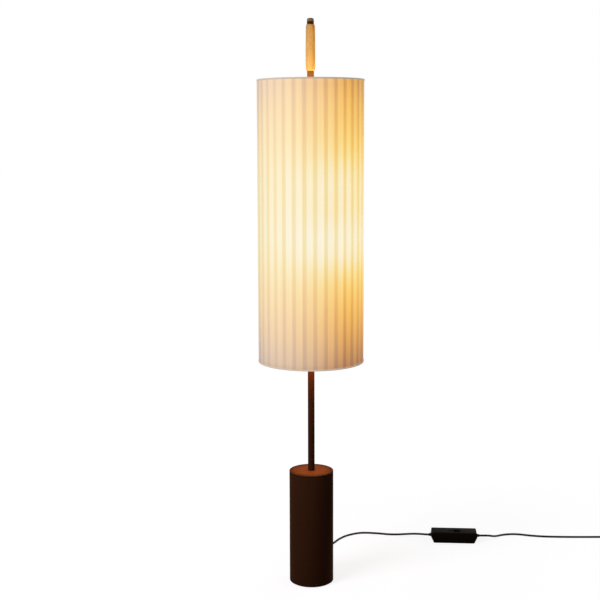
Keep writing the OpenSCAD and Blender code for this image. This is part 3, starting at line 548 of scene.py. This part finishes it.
# %% Ridges for a fingertip
RIDGES = 5
RIDGE_PITCH, RIDGE_R, RIDGE_LENGTH = 2.2 * MM, 0.5 * MM, 9.2 * MM
RIDGE_STEPS = 6
knob_low, knob_high = (Vector(corner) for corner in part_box("dimmer_slider"))
knob_middle = (knob_low + knob_high) / 2
across_case = Vector((-ALONG_CASE.y, ALONG_CASE.x, 0))
build = bmesh.new()
for k in range(RIDGES):
    off_middle = (k - (RIDGES - 1) / 2) * RIDGE_PITCH
    foot = Vector((knob_middle.x, knob_middle.y, knob_high.z)) + off_middle * ALONG_CASE
    ends = []
    for way in (-0.5, 0.5):
        end = []
        for step in range(RIDGE_STEPS + 1):
            a = math.pi * step / RIDGE_STEPS
            out = RIDGE_R * (math.cos(a) * ALONG_CASE + math.sin(a) * Vector((0, 0, 1)))
            end.append(build.verts.new(foot + way * RIDGE_LENGTH * across_case + out))
        ends.append(end)
    near, far = ends
    for step in range(RIDGE_STEPS):
        build.faces.new((near[step], near[step + 1], far[step + 1], far[step])).smooth = True
    build.faces.new((near[-1], near[0], far[0], far[-1]))
    build.faces.new(near[::-1])
    build.faces.new(far)
bmesh.ops.recalc_face_normals(build, faces=build.faces)
ridges = built("knob_ridges", build)
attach(ridges, "slider")
print("ridges:", RIDGES, "on top of the knob at", round(knob_high.z, 4), "m")

# %% [markdown]
# ## What the leads carry
#
# Each lead takes the place of the packed pieces that it stands for, which are hidden, and rides on
# the lamp's body. The dimmer is on the first stretch, and the plug, with its relief and the band round
# the coil, is on the second.

# %% Say what the leads are
for lead, stands_for in (
    (lead_to_dimmer, ["cord_to_dimmer"]),
    (lead_to_plug, ["cord_to_coil", "cord_coil", "cord_to_plug"]),
):
    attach(lead, "lamp")
    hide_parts(*stands_for)
    print(lead.name, "stands for", ", ".join(stands_for))

# %% [markdown]
# ## The floor and the light of the room
#
# The lamp stands in a white studio. The room's own light is weak and comes from all round, and a large
# lamp at the left of the camera gives the pieces their shape.
# A floor that is lit until it goes white would throw that much light on the lamp too. This floor is
# mid grey, and glows just short of white for the camera and for what glossy and clear surfaces show of
# it. So it looks white, adds little light, and still takes a soft shadow. The room behind it is plain
# white in the same way.

# %% A white room
WHITE_FOR = ("Is Camera Ray", "Is Glossy Ray", "Is Transmission Ray")
ROOM_LIGHT = 0.10
world = bpy.data.worlds.new("studio")
bpy.context.scene.world = world
world.use_nodes = True
room = world.node_tree
ray = room.nodes.new("ShaderNodeLightPath")
seen = ray.outputs[WHITE_FOR[0]]
for kind in WHITE_FOR[1:]:
    either = room.nodes.new("ShaderNodeMath")
    either.operation = "MAXIMUM"
    room.links.new(seen, either.inputs[0])
    room.links.new(ray.outputs[kind], either.inputs[1])
    seen = either.outputs[0]
level = room.nodes.new("ShaderNodeMapRange")
level.inputs["To Min"].default_value = ROOM_LIGHT
room.links.new(seen, level.inputs["Value"])
room.nodes["Background"].inputs["Color"].default_value = (1, 1, 1, 1)
room.links.new(level.outputs[0], room.nodes["Background"].inputs["Strength"])
print("light from the room:", ROOM_LIGHT)

# %% A floor that shows white and still takes a shadow
FLOOR_HALF_SIDE = 40
FLOOR_GREY, FLOOR_GLOW = 0.4, 0.96
GLOW_DIP, DIP_REACH = 0.12, 1.4  # near the lamp the floor has light of its own, so it needs less glow
floor_mesh = bpy.data.meshes.new("floor")
sides = ((-1, -1), (1, -1), (1, 1), (-1, 1))
floor_mesh.from_pydata([(x * FLOOR_HALF_SIDE, y * FLOOR_HALF_SIDE, 0) for x, y in sides], [], [(0, 1, 2, 3)])
floor = add_to_scene("floor", floor_mesh)

pale_floor = Finish("pale_floor")
ray = pale_floor.add("LightPath")
shown = ray.outputs[WHITE_FOR[0]]
for kind in WHITE_FOR[1:]:
    shown = pale_floor.maths("MAXIMUM", shown, ray.outputs[kind])
dip = pale_floor.fade_out(pale_floor.vector("LENGTH", pale_floor.place), DIP_REACH)
floor_glow = pale_floor.maths("MULTIPLY_ADD", dip, -GLOW_DIP, FLOOR_GLOW)
pale_floor.set(
    Base_Color=(FLOOR_GREY, FLOOR_GREY, FLOOR_GREY, 1), Roughness=0.9, Specular_IOR_Level=0.0,
    Emission_Color=(1, 1, 1, 1), Emission_Strength=pale_floor.maths("MULTIPLY", shown, floor_glow),
)  # fmt: skip
wear(pale_floor, floor)


# %% Studio lamps
def area_lamp(name, place, heading, size, power, colour, shape="SQUARE"):
    """A flat soft light that shines this way."""
    light = bpy.data.lights.new(name, "AREA")
    light.shape = shape
    light.size = size
    light.energy = power
    light.color = colour
    holder = add_to_scene(name, light)
    holder.location = place
    holder.rotation_euler = Vector(heading).to_track_quat("-Z", "Y").to_euler()
    print(name, "has", power, "W")
    return holder


def studio_lamp(name, place, aim, size, power, colour=(1, 1, 1)):
    """A square soft light that faces a point."""
    return area_lamp(name, place, Vector(aim) - Vector(place), size, power, colour)


KEY_COLOUR = (1.0, 0.94, 1.1)  # a little violet, as fitted to the picture
studio_lamp("key_lamp", place=(-2.3, -1.9, 2.3), aim=(0, 0, 0.8), size=1.8, power=64, colour=KEY_COLOUR)
studio_lamp("fill_lamp", place=(2.4, 1.6, 2.0), aim=(0, 0, 0.7), size=2.2, power=8)

# %% [markdown]
# ## The light of the bulbs
#
# Two opal bulbs burn inside the shade, one upwards and one downwards from the arm. The ribbons shine
# by themselves, in their finish further on, so the lamps in the bulbs are weak and light what is inside
# the shade.
# The other lamps stand for the light that leaves the shade at its two open ends. Light linking lets
# each of them fall on named pieces alone, so that one piece can be brought to its level and the others
# keep theirs. Two of them don't stand where the real light comes from: one hangs just over the base,
# and one stands to the right of the camera, because the grip stayed too dark without it. Their powers
# and colours were fitted to the picture.

# %% Lamps that fall on named pieces
BULB_X, BULB_Y = 22.5 * MM, -38.97 * MM
UPPER_BULB, LOWER_BULB = Vector((BULB_X, BULB_Y, 1.082)), Vector((BULB_X, BULB_Y, 0.932))
BULB_R = 20 * MM
END_GLOW_SIZE = 250 * MM
BASE_GLOW_SIZE = 106 * MM  # hangs so low over the base that its light fades towards the rim
LOW_GLOW_SIZE = 160 * MM
WARM, HONEY, OLIVE, AMBER = (1.0, 0.45, 0.14), (1.0, 0.62, 0.35), (0.78, 0.7, 0.29), (1.0, 0.70, 0.26)
UP, DOWN = (0, 0, 1), (0, 0, -1)


def falls_on(holder, *pieces):
    """Lets a light fall on these pieces alone."""
    group = bpy.data.collections.new(holder.name + "_falls_on")
    for piece in pieces:
        group.objects.link(nodes[piece] if isinstance(piece, str) else piece)
    holder.light_linking.receiver_collection = group


def end_glow(name, height, heading, power, colour=WARM, size=END_GLOW_SIZE):
    """A round soft light on the lamp's axis, which shines up or down."""
    return area_lamp(name, (0, 0, height), heading, size, power, colour, shape="DISK")


def bulb_glow(name, place, power):
    """A bulb's light inside the shade."""
    light = bpy.data.lights.new(name, "POINT")
    light.energy = power
    light.color = WARM
    light.shadow_soft_size = BULB_R
    add_to_scene(name, light).location = place
    print(name, "has", power, "W")


# %% Light that leaves the shade
base_glow = end_glow("base_glow", height=0.322, heading=DOWN, power=0.155, size=BASE_GLOW_SIZE)
falls_on(base_glow, top_disc)
grip_glow = end_glow("grip_glow", height=1.12, heading=UP, power=3.8, colour=HONEY)
falls_on(grip_glow, "wooden_grip", "rod_cap")
grip_lamp = studio_lamp(
    "grip_lamp", place=(1.3, -1.6, 1.5), aim=(0, 0, 1.43), size=0.8, power=17, colour=AMBER
)
falls_on(grip_lamp, "wooden_grip", "rod_cap")
falls_on(end_glow("bottom_glow", height=0.607, heading=DOWN, power=0.84, size=LOW_GLOW_SIZE), "rod")
falls_on(end_glow("top_glow", height=1.32, heading=UP, power=6.6, colour=OLIVE), "rod")
bulb_glow("lower_glow", LOWER_BULB, power=1.0)
bulb_glow("upper_glow", UPPER_BULB, power=1.0)
for globe in ("upper_bulb_globe", "lower_bulb_globe"):
    nodes[globe].visible_shadow = False  # or it would keep in the lamp at its middle

# %% [markdown]
# ## The glow of the ribbons
#
# A woven ribbon with a bulb behind it shines: most where it is near the bulb and faces it, and less
# near the open ends. Cloth that really let light through would need strong lamps inside and many
# samples to be free of noise. This finish works the glow out from where a point lies and shines by
# itself, so the shade looks lit from every side.
# The numbers were fitted to the picture's colours. They make a likeness, and don't follow from the
# bulbs. They also keep this glow wherever the dimmer's knob stands.

# %% How much light reaches the cloth
BOUNCED = 0.459  # light that has bounced about inside the shade
BOUNCED_FADE, BRIGHTEST = 1.04, 1.15  # it fades with the square of the height above or below this
UPPER_GLOW, LOWER_GLOW = 0.0054, 0.0099
END_LOSS, END_REACH = 0.442, 0.07  # what the open ends let out, and how far from them it is missed

cloth = Finish("woven_ribbon")
x, y, z = cloth.apart(cloth.place)
outwards = cloth.vector("NORMALIZE", cloth.add("CombineXYZ", {0: x, 1: y}).outputs[0])
inwards = cloth.vector("MULTIPLY", outwards, (-1, -1, -1))


def light_from(bulb, power):
    """Light on the cloth from one bulb: more when it faces it, less with the square of the distance."""
    to_bulb = cloth.vector("SUBTRACT", tuple(bulb), cloth.place)
    facing = cloth.vector("DOT_PRODUCT", to_bulb, inwards)  # this still grows with the distance
    cubed = cloth.maths("POWER", cloth.vector("LENGTH", to_bulb), 3.0)  # once to undo that, twice to fade
    return cloth.maths("MULTIPLY", cloth.maths("DIVIDE", facing, cubed), power)


from_brightest = cloth.maths("SUBTRACT", z, BRIGHTEST)
fade = cloth.maths("MULTIPLY", cloth.maths("POWER", from_brightest, 2.0), -BOUNCED_FADE)
glow = cloth.maths("ADD", fade, BOUNCED)
glow = cloth.maths("ADD", glow, light_from(UPPER_BULB, UPPER_GLOW))
glow = cloth.maths("ADD", glow, light_from(LOWER_BULB, LOWER_GLOW))
glow = cloth.maths("MAXIMUM", glow, 0.0)
from_top, from_bottom = cloth.maths("SUBTRACT", SHADE_TOP, z), cloth.maths("SUBTRACT", z, SHADE_BOTTOM)
from_end = cloth.maths("MINIMUM", from_top, from_bottom)
missing = cloth.maths("EXPONENT", cloth.maths("DIVIDE", from_end, -END_REACH))
glow = cloth.maths("MULTIPLY", glow, cloth.maths("MULTIPLY_ADD", missing, -END_LOSS, 1.0))
print("nodes that measure the light:", len(cloth.tree.nodes))

# %% [markdown]
# ## Laps and slubs
#
# Where two ribbons lie on each other less light gets through, and a thicker thread, a slub, draws a
# fine line from hem to hem. Both belong to the ribbon and not to the room, so the laps read the
# ribbon's own map, and the slubs are noise drawn out a hundredfold along the ribbon.

# %% What the ribbons hold back
THROUGH_TWO = 0.70  # what gets through two ribbons
# the lap itself starts at 0.25; from 0.185 the glow darkens softly as painted shadow of the lower ribbon's
# edge
LAP_SHADOW_STARTS, LAP_WHOLE = 0.185, 0.25  # how far from the ribbon's middle, as a share of its width
ribbon_map = cloth.add("UVMap", uv_map="ribbon_map").outputs["UV"]
across, up, _ = cloth.apart(ribbon_map)
from_middle = cloth.maths("ABSOLUTE", cloth.maths("SUBTRACT", across, 0.5))
lap_and_edge_shadow = cloth.ramp(from_middle, LAP_SHADOW_STARTS, LAP_WHOLE)
slubs = cloth.between(cloth.noise(scale=150, detail=3.0, stretch=(1, 1, 0.012)), low=0.88, high=1.12)
uneven = cloth.between(cloth.noise(scale=38, detail=1.0, stretch=(1, 1, 0.03)), low=0.94, high=1.06)
glow = cloth.maths("MULTIPLY", cloth.maths("MULTIPLY_ADD", lap_and_edge_shadow, THROUGH_TWO - 1, 1.0), glow)
glow = cloth.maths("MULTIPLY", glow, cloth.maths("MULTIPLY", slubs, uneven))
print("a lap lets through", THROUGH_TWO, "of the light")

# %% [markdown]
# ## The colour of the glow
#
# In the picture the cloth is nearly white where much light comes through and yellow where less does:
# blue is the last to come through. So red, green and blue each get a curve of their own. What the
# picture shows beyond that is put on top as soft patches of painted light and shade: a side painted
# paler where the key lamp's light falls, a duller left edge and dull corners. They make the likeness
# closer. No cause on the lamp is known for the duller left edge and the dull corners.

# %% Patches that the picture shows
KEY_LAMP_SIDE = (-0.788, -0.616, 0)  # the way that the side facing the key lamp faces; the glow is painted paler there, as that lamp's light
FAR_SIDE = (-1.0, 0, 0)  # the shade's left edge, which gets least of all
FAR_LOSS, FAR_NARROW = 0.12, 8.0
CORNER_REACH, CORNER_NARROW = 0.11, 4.0
side = cloth.maths("MAXIMUM", cloth.vector("DOT_PRODUCT", outwards, KEY_LAMP_SIDE), 0.0)
leftness = cloth.maths("MAXIMUM", cloth.vector("DOT_PRODUCT", outwards, FAR_SIDE), 0.0)
far = cloth.maths("MULTIPLY_ADD", cloth.maths("POWER", leftness, FAR_NARROW), -FAR_LOSS, 1.0)
aside = cloth.maths("ABSOLUTE", cloth.vector("DOT_PRODUCT", outwards, FAR_SIDE))
near_end = cloth.fade_out(from_end, CORNER_REACH)
corner = cloth.maths("MULTIPLY", cloth.maths("POWER", aside, CORNER_NARROW), near_end)
off_ends = cloth.maths("SUBTRACT", 1.0, near_end)
left_middle = cloth.maths("MULTIPLY", cloth.maths("POWER", leftness, 2.0), off_ends)
print("nodes, with the patches:", len(cloth.tree.nodes))

# %% Red, green and blue
# Each of these holds red, green and blue.
MOST_GLOW, LEAST_GLOW = (0.644, 0.886, 0.568), (0.278, 0.005, 0.052)
GLOW_RATE, GLOW_SHARPNESS = (4.78, 2.01, 0.964), (1.71, 0.913, 3.0)
SIDE_LOSS, SIDE_GLOW = (-0.522, -0.417, -0.327), (0.3115, 0.2512, 0.1533)
TWO_THICK = (0.915, 0.900, 0.800)  # the tint of light that comes through two ribbons
CORNER_LOSS = (0.18, 0.16, 0.04)
YELLOWER = (0, 0.02, 0.14)  # what the left edge lacks, away from the ends
colours = []
for k in range(3):
    stopped = cloth.maths("POWER", cloth.maths("MULTIPLY", glow, GLOW_RATE[k]), GLOW_SHARPNESS[k])
    through = cloth.maths("EXPONENT", cloth.maths("MULTIPLY", stopped, -1.0))
    shine = cloth.maths("MULTIPLY_ADD", through, -MOST_GLOW[k], MOST_GLOW[k] + LEAST_GLOW[k])
    shine = cloth.maths("MULTIPLY", shine, cloth.maths("MULTIPLY_ADD", side, SIDE_LOSS[k], 1.0))
    shine = cloth.maths("MULTIPLY_ADD", side, SIDE_GLOW[k], shine)
    tint = cloth.maths("MULTIPLY_ADD", lap_and_edge_shadow, TWO_THICK[k] - 1, 1.0)
    dulled = cloth.maths("MULTIPLY_ADD", corner, -CORNER_LOSS[k], far)
    dulled = cloth.maths("MULTIPLY_ADD", left_middle, -YELLOWER[k], dulled)
    shine = cloth.maths("MULTIPLY", cloth.maths("MULTIPLY", shine, tint), dulled)
    colours.append(cloth.maths("MAXIMUM", shine, 0.0))
glow_colour = cloth.add("CombineColor", dict(enumerate(colours))).outputs[0]
print("nodes, with the colours:", len(cloth.tree.nodes))

# %% The ribbon's weave
INNER_FACE = 0.85  # the glow of the shade's inside, as a share of its outside's
FACE_TURN = 0.2  # how softly one goes over into the other
THREADS_ACROSS, THREADS_UP = 110, 1250
RISE_UP, RISE_ACROSS = 1.0, 1.3  # keeps both waves above nothing, the one across a little higher
CREAMS = (0.365, 0.34, 0.365), (0.35, 0.325, 0.345)  # duller than such cloth, so its glow doesn't clip
facing_in = cloth.vector("DOT_PRODUCT", cloth.facing, inwards)
strength = cloth.ramp(facing_in, -FACE_TURN, FACE_TURN, low=1.0, high=INNER_FACE)
threads = cloth.maths("SINE", cloth.maths("MULTIPLY", up, 2 * math.pi * THREADS_UP))
warp = cloth.maths("SINE", cloth.maths("MULTIPLY", across, 2 * math.pi * THREADS_ACROSS))
weave = cloth.maths("MULTIPLY", cloth.maths("ADD", threads, RISE_UP), cloth.maths("ADD", warp, RISE_ACROSS))
cloth.bump(weave, depth=0.04 * MM, strength=0.5)
cloth.set(
    Base_Color=cloth.blend(cloth.noise(scale=35, detail=3.0, stretch=(1, 1, 0.08)), *CREAMS),
    Roughness=0.75, Specular_IOR_Level=0.25, Sheen_Weight=0.15,
    Emission_Color=glow_colour, Emission_Strength=strength,
)  # fmt: skip
wear(cloth, *ribbons)

# %% [markdown]
# ## Brown powder coat
#
# The base, the rod and the arm are steel with a matt brown powder coat, whose surface is finely
# pebbled. On eased edges that turn partly upwards, a paler brown is painted in patches as the
# highlight that light from above puts there. Blender can find edges by ray tracing, but here it is
# enough to know which way a surface faces: the rounded edge of the base's top faces neither
# sideways, as its wall does, nor straight up, as its top does.

# %% Brown powder coat
BROWNS = (0.050, 0.0175, 0.0068), (0.042, 0.0148, 0.0057)
# a paler brown, painted in patches on edges that turn partly upwards as a highlight
EDGE_HIGHLIGHT_BROWN = (0.090, 0.047, 0.026)
WALL_ENDS, EDGE_STARTS = 0.15, 0.45  # how far up a surface faces: 0 on a wall, 1 on a level top
TOP_STARTS, EDGE_ENDS = 0.99, 0.9
paint = Finish("brown_powder_coat")
upwards = paint.apart(paint.facing)[2]
# edges that face partly upwards get the painted highlight
on_edge = paint.maths(
    "MULTIPLY", paint.ramp(upwards, WALL_ENDS, EDGE_STARTS), paint.ramp(upwards, TOP_STARTS, EDGE_ENDS)
)
patchy = paint.between(paint.noise(scale=90, detail=3.0), low=0.6, high=1.0)
painted_edge_highlight = paint.maths("MULTIPLY", on_edge, patchy)
brown = paint.blend(painted_edge_highlight, paint.blend(paint.noise(scale=12), *BROWNS), EDGE_HIGHLIGHT_BROWN)
paint.bump(paint.noise(scale=1800), depth=0.05 * MM, strength=0.35)
paint.set(
    Base_Color=brown, Roughness=paint.between(paint.noise(scale=160), low=0.62, high=0.72),
    Specular_IOR_Level=0.008, Specular_Tint=(1, 0.7, 0.55, 1),
)  # fmt: skip
wear(paint, base_shell, top_disc, bottom_plate, "rod", "lamp_arm")

# %% [markdown]
# ## Turned wood
#
# The grip is turned from one piece of wood and oiled. Its grain runs along it, so the noise is drawn
# out upwards: fine for the pores and coarser for the figure. The wood is paler towards its foot. That
# stands for the light of the shade there, which lamps alone gave only with the grip too bright.

# %% Turned wood
# the paler woods at the foot are painted light from the shade; at the top is the oiled wood's own tone
FOOT_LIT_WOODS = (0.80, 0.580, 0.175), (0.66, 0.435, 0.120)
TOP_WOODS = (0.66, 0.375, 0.100), (0.55, 0.285, 0.070)
PORES, FIGURE = 0.6, 0.4  # how much each has in the wood's tone
wood = Finish("oiled_turned_wood")
grain = wood.noise(scale=520, detail=4.0, stretch=(1, 1, 0.035))
figure = wood.noise(scale=90, detail=2.0, stretch=(1, 1, 0.12))
tone = wood.maths("ADD", wood.maths("MULTIPLY", grain, PORES), wood.maths("MULTIPLY", figure, FIGURE))
tone = wood.between(tone, low=0, high=1)
grip_low, grip_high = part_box("wooden_grip")
up_grip = wood.ramp(wood.apart(wood.place)[2], grip_low[2], grip_high[2])
wood.bump(grain, depth=0.03 * MM, strength=0.4)
wood.set(
    Base_Color=wood.blend(up_grip, wood.blend(tone, *FOOT_LIT_WOODS), wood.blend(tone, *TOP_WOODS)),
    Roughness=wood.between(grain, low=0.42, high=0.55), Specular_IOR_Level=0.3,
)  # fmt: skip
wear(wood, "wooden_grip")

# %% [markdown]
# ## Finishes that share a recipe
#
# Enamel, plastic, rubber, tape, steel, brass, iron and felt look unlike, but the same three things
# keep each of them from looking flat: a fine grain that is raised, a tone that drifts a little from
# place to place, and a gloss that isn't quite even. One recipe makes them all, and each finish gives
# its own sizes and colours to it.
# The dimmer is nearly black in the picture, so its plastic is darker, and less glossy, than such a
# case often is.


# %% The shared recipe
def mottled(name, grain, depth, strength, tone_scale, tones, roughness, gloss_scale=None, **sockets):
    """A finish with a raised grain and a slightly uneven tone and gloss.

    grain holds what its noise takes. Without a scale of its own, the gloss follows the grain.
    """
    finish = Finish(name)
    raised = finish.noise(**grain)
    finish.bump(raised, depth, strength)
    gloss = finish.noise(gloss_scale) if gloss_scale else raised
    finish.set(
        Base_Color=finish.blend(finish.noise(tone_scale), *tones),
        Roughness=finish.between(gloss, *roughness), **sockets,
    )  # fmt: skip
    return finish


# the cap's browns are painted paler than the rod's coat, as painted light on the domed cap
cap_with_painted_light = mottled(
    "brown_cap_with_painted_light", grain={"scale": 1500}, depth=0.03 * MM, strength=0.3,
    tone_scale=200, tones=((0.205, 0.150, 0.095), (0.175, 0.126, 0.080)),
    gloss_scale=500, roughness=(0.4, 0.5), Specular_IOR_Level=0.15,
)  # fmt: skip
wear(cap_with_painted_light, "rod_cap")

# %% Black plastic, rubber and the lead's sheath
plastic = mottled(
    "black_moulded_plastic", grain={"scale": 2600, "detail": 1.0}, depth=0.03 * MM, strength=0.3,
    tone_scale=300, tones=((0.0086, 0.0064, 0.0044), (0.0100, 0.0075, 0.0053)),
    gloss_scale=700, roughness=(0.34, 0.42), Specular_IOR_Level=0.006, Specular_Tint=(1, 0.8, 0.6, 1),
)  # fmt: skip
wear(plastic, case_bottom, case_top, knob, ridges, plug, "cord_gland", "gland_nut")

rubber = mottled(
    "black_rubber", grain={"scale": 1500}, depth=0.03 * MM, strength=0.4,
    tone_scale=200, tones=((0.008, 0.0075, 0.007), (0.012, 0.011, 0.010)),
    gloss_scale=400, roughness=(0.62, 0.75), Specular_IOR_Level=0.15,
)  # fmt: skip
wear(rubber, "dimmer_sleeves", "plug_relief", "cord_tie")

sheath = mottled(
    "lead_sheath", grain={"scale": 900}, depth=0.03 * MM, strength=0.4,
    tone_scale=60, tones=((0.012, 0.009, 0.007), (0.016, 0.011, 0.008)),
    gloss_scale=300, roughness=(0.45, 0.55), Specular_IOR_Level=0.15,
)  # fmt: skip
wear(sheath, lead_to_dimmer, lead_to_plug, "inner_lead")

# %% Hem tape, which the light of the shade shines through
tape = mottled(
    "hem_tape", grain={"scale": 1400}, depth=0.05 * MM, strength=0.5,
    tone_scale=500, tones=((0.52, 0.46, 0.38), (0.44, 0.39, 0.32)),
    gloss_scale=300, roughness=(0.8, 0.9), Specular_IOR_Level=0.2,
    Emission_Color=(0.34, 0.29, 0.23, 1), Emission_Strength=1.0,
)  # fmt: skip
wear(tape, *hems)

# %% Steel and brass
steel = mottled(
    "zinc_steel", grain={"scale": 700, "detail": 3.0}, depth=0.02 * MM, strength=0.3,
    tone_scale=50, tones=((0.56, 0.56, 0.57), (0.48, 0.48, 0.50)),
    roughness=(0.32, 0.45), Metallic=1.0,
)  # fmt: skip
wear(
    steel, "tie_rods", "tie_rod_nuts", "nipple_washer", "nipple_nut", "upper_bulb_cap",
    "lower_bulb_cap", "shade_top_ring", "shade_bottom_ring", "shade_top_spider",
    "shade_bottom_spider", "shade_collars", "grub_screws", "dimmer_screws",
)  # fmt: skip

brass = mottled(
    "turned_brass", grain={"scale": 900, "stretch": (1, 1, 6)}, depth=0.01 * MM, strength=0.3,
    tone_scale=60, tones=((0.62, 0.44, 0.16), (0.52, 0.36, 0.13)),
    roughness=(0.25, 0.38), Metallic=1.0,
)  # fmt: skip
wear(brass, "rod_nipple", "holder_nipples", "holder_sleeves", "plug_pins")

# %% Iron, felt and the lampholders' plastic
iron = mottled(
    "cast_iron", grain={"scale": 500, "detail": 4.0}, depth=0.2 * MM, strength=0.6,
    tone_scale=120, tones=((0.10, 0.10, 0.10), (0.16, 0.15, 0.15)),
    gloss_scale=300, roughness=(0.6, 0.8), Metallic=0.6,
)  # fmt: skip
wear(iron, "ballast_weight")

felt = mottled(
    "wool_felt", grain={"scale": 1200, "detail": 4.0}, depth=0.2 * MM, strength=0.8,
    tone_scale=900, tones=((0.010, 0.009, 0.008), (0.022, 0.020, 0.018)),
    gloss_scale=700, roughness=(0.85, 0.98), Specular_IOR_Level=0.1,
)  # fmt: skip
wear(felt, "floor_pad")

holder_plastic = mottled(
    "white_holder_plastic", grain={"scale": 1500}, depth=0.02 * MM, strength=0.3,
    tone_scale=90, tones=((0.78, 0.76, 0.70), (0.72, 0.70, 0.64)),
    gloss_scale=400, roughness=(0.4, 0.5),
)  # fmt: skip
wear(holder_plastic, "upper_lampholder", "lower_lampholder")

# %% [markdown]
# ## Opal glass and the circuit board
#
# An opal bulb is white glass that spreads its light so well that no filament shows, so it needs no
# glass shader: it is a smooth pale surface with a glow of its own. The dimmer's board hides in its
# case. A brick pattern, small enough, passes for its copper tracks.

# %% Opal glass
opal = Finish("opal_glass")
opal.bump(opal.noise(scale=120), depth=0.02 * MM, strength=0.1)
opal.set(
    Base_Color=(0.85, 0.82, 0.76, 1), Roughness=opal.between(opal.noise(scale=200), low=0.16, high=0.22),
    Emission_Color=(1.0, 0.86, 0.62, 1), Emission_Strength=1.6,
)  # fmt: skip
wear(opal, "upper_bulb_globe", "lower_bulb_globe")

# %% Circuit board
BOARD_GREENS = (0.012, 0.10, 0.035), (0.02, 0.16, 0.06)
TRACKS_SCALE = 260.0
board = Finish("circuit_board")
tracks = board.add("TexBrick", {"Vector": board.place, "Scale": TRACKS_SCALE}).outputs["Fac"]
board.bump(tracks, depth=0.03 * MM, strength=0.5)
board.set(
    Base_Color=board.blend(tracks, *BOARD_GREENS),
    Roughness=board.between(board.noise(scale=300), low=0.3, high=0.45),
)  # fmt: skip
wear(board, "dimmer_board")

# %% [markdown]
# ## The last step
#
# The last line brings every piece's place in the scene up to date.

# %% Bring the scene up to date
bpy.context.view_layer.update()
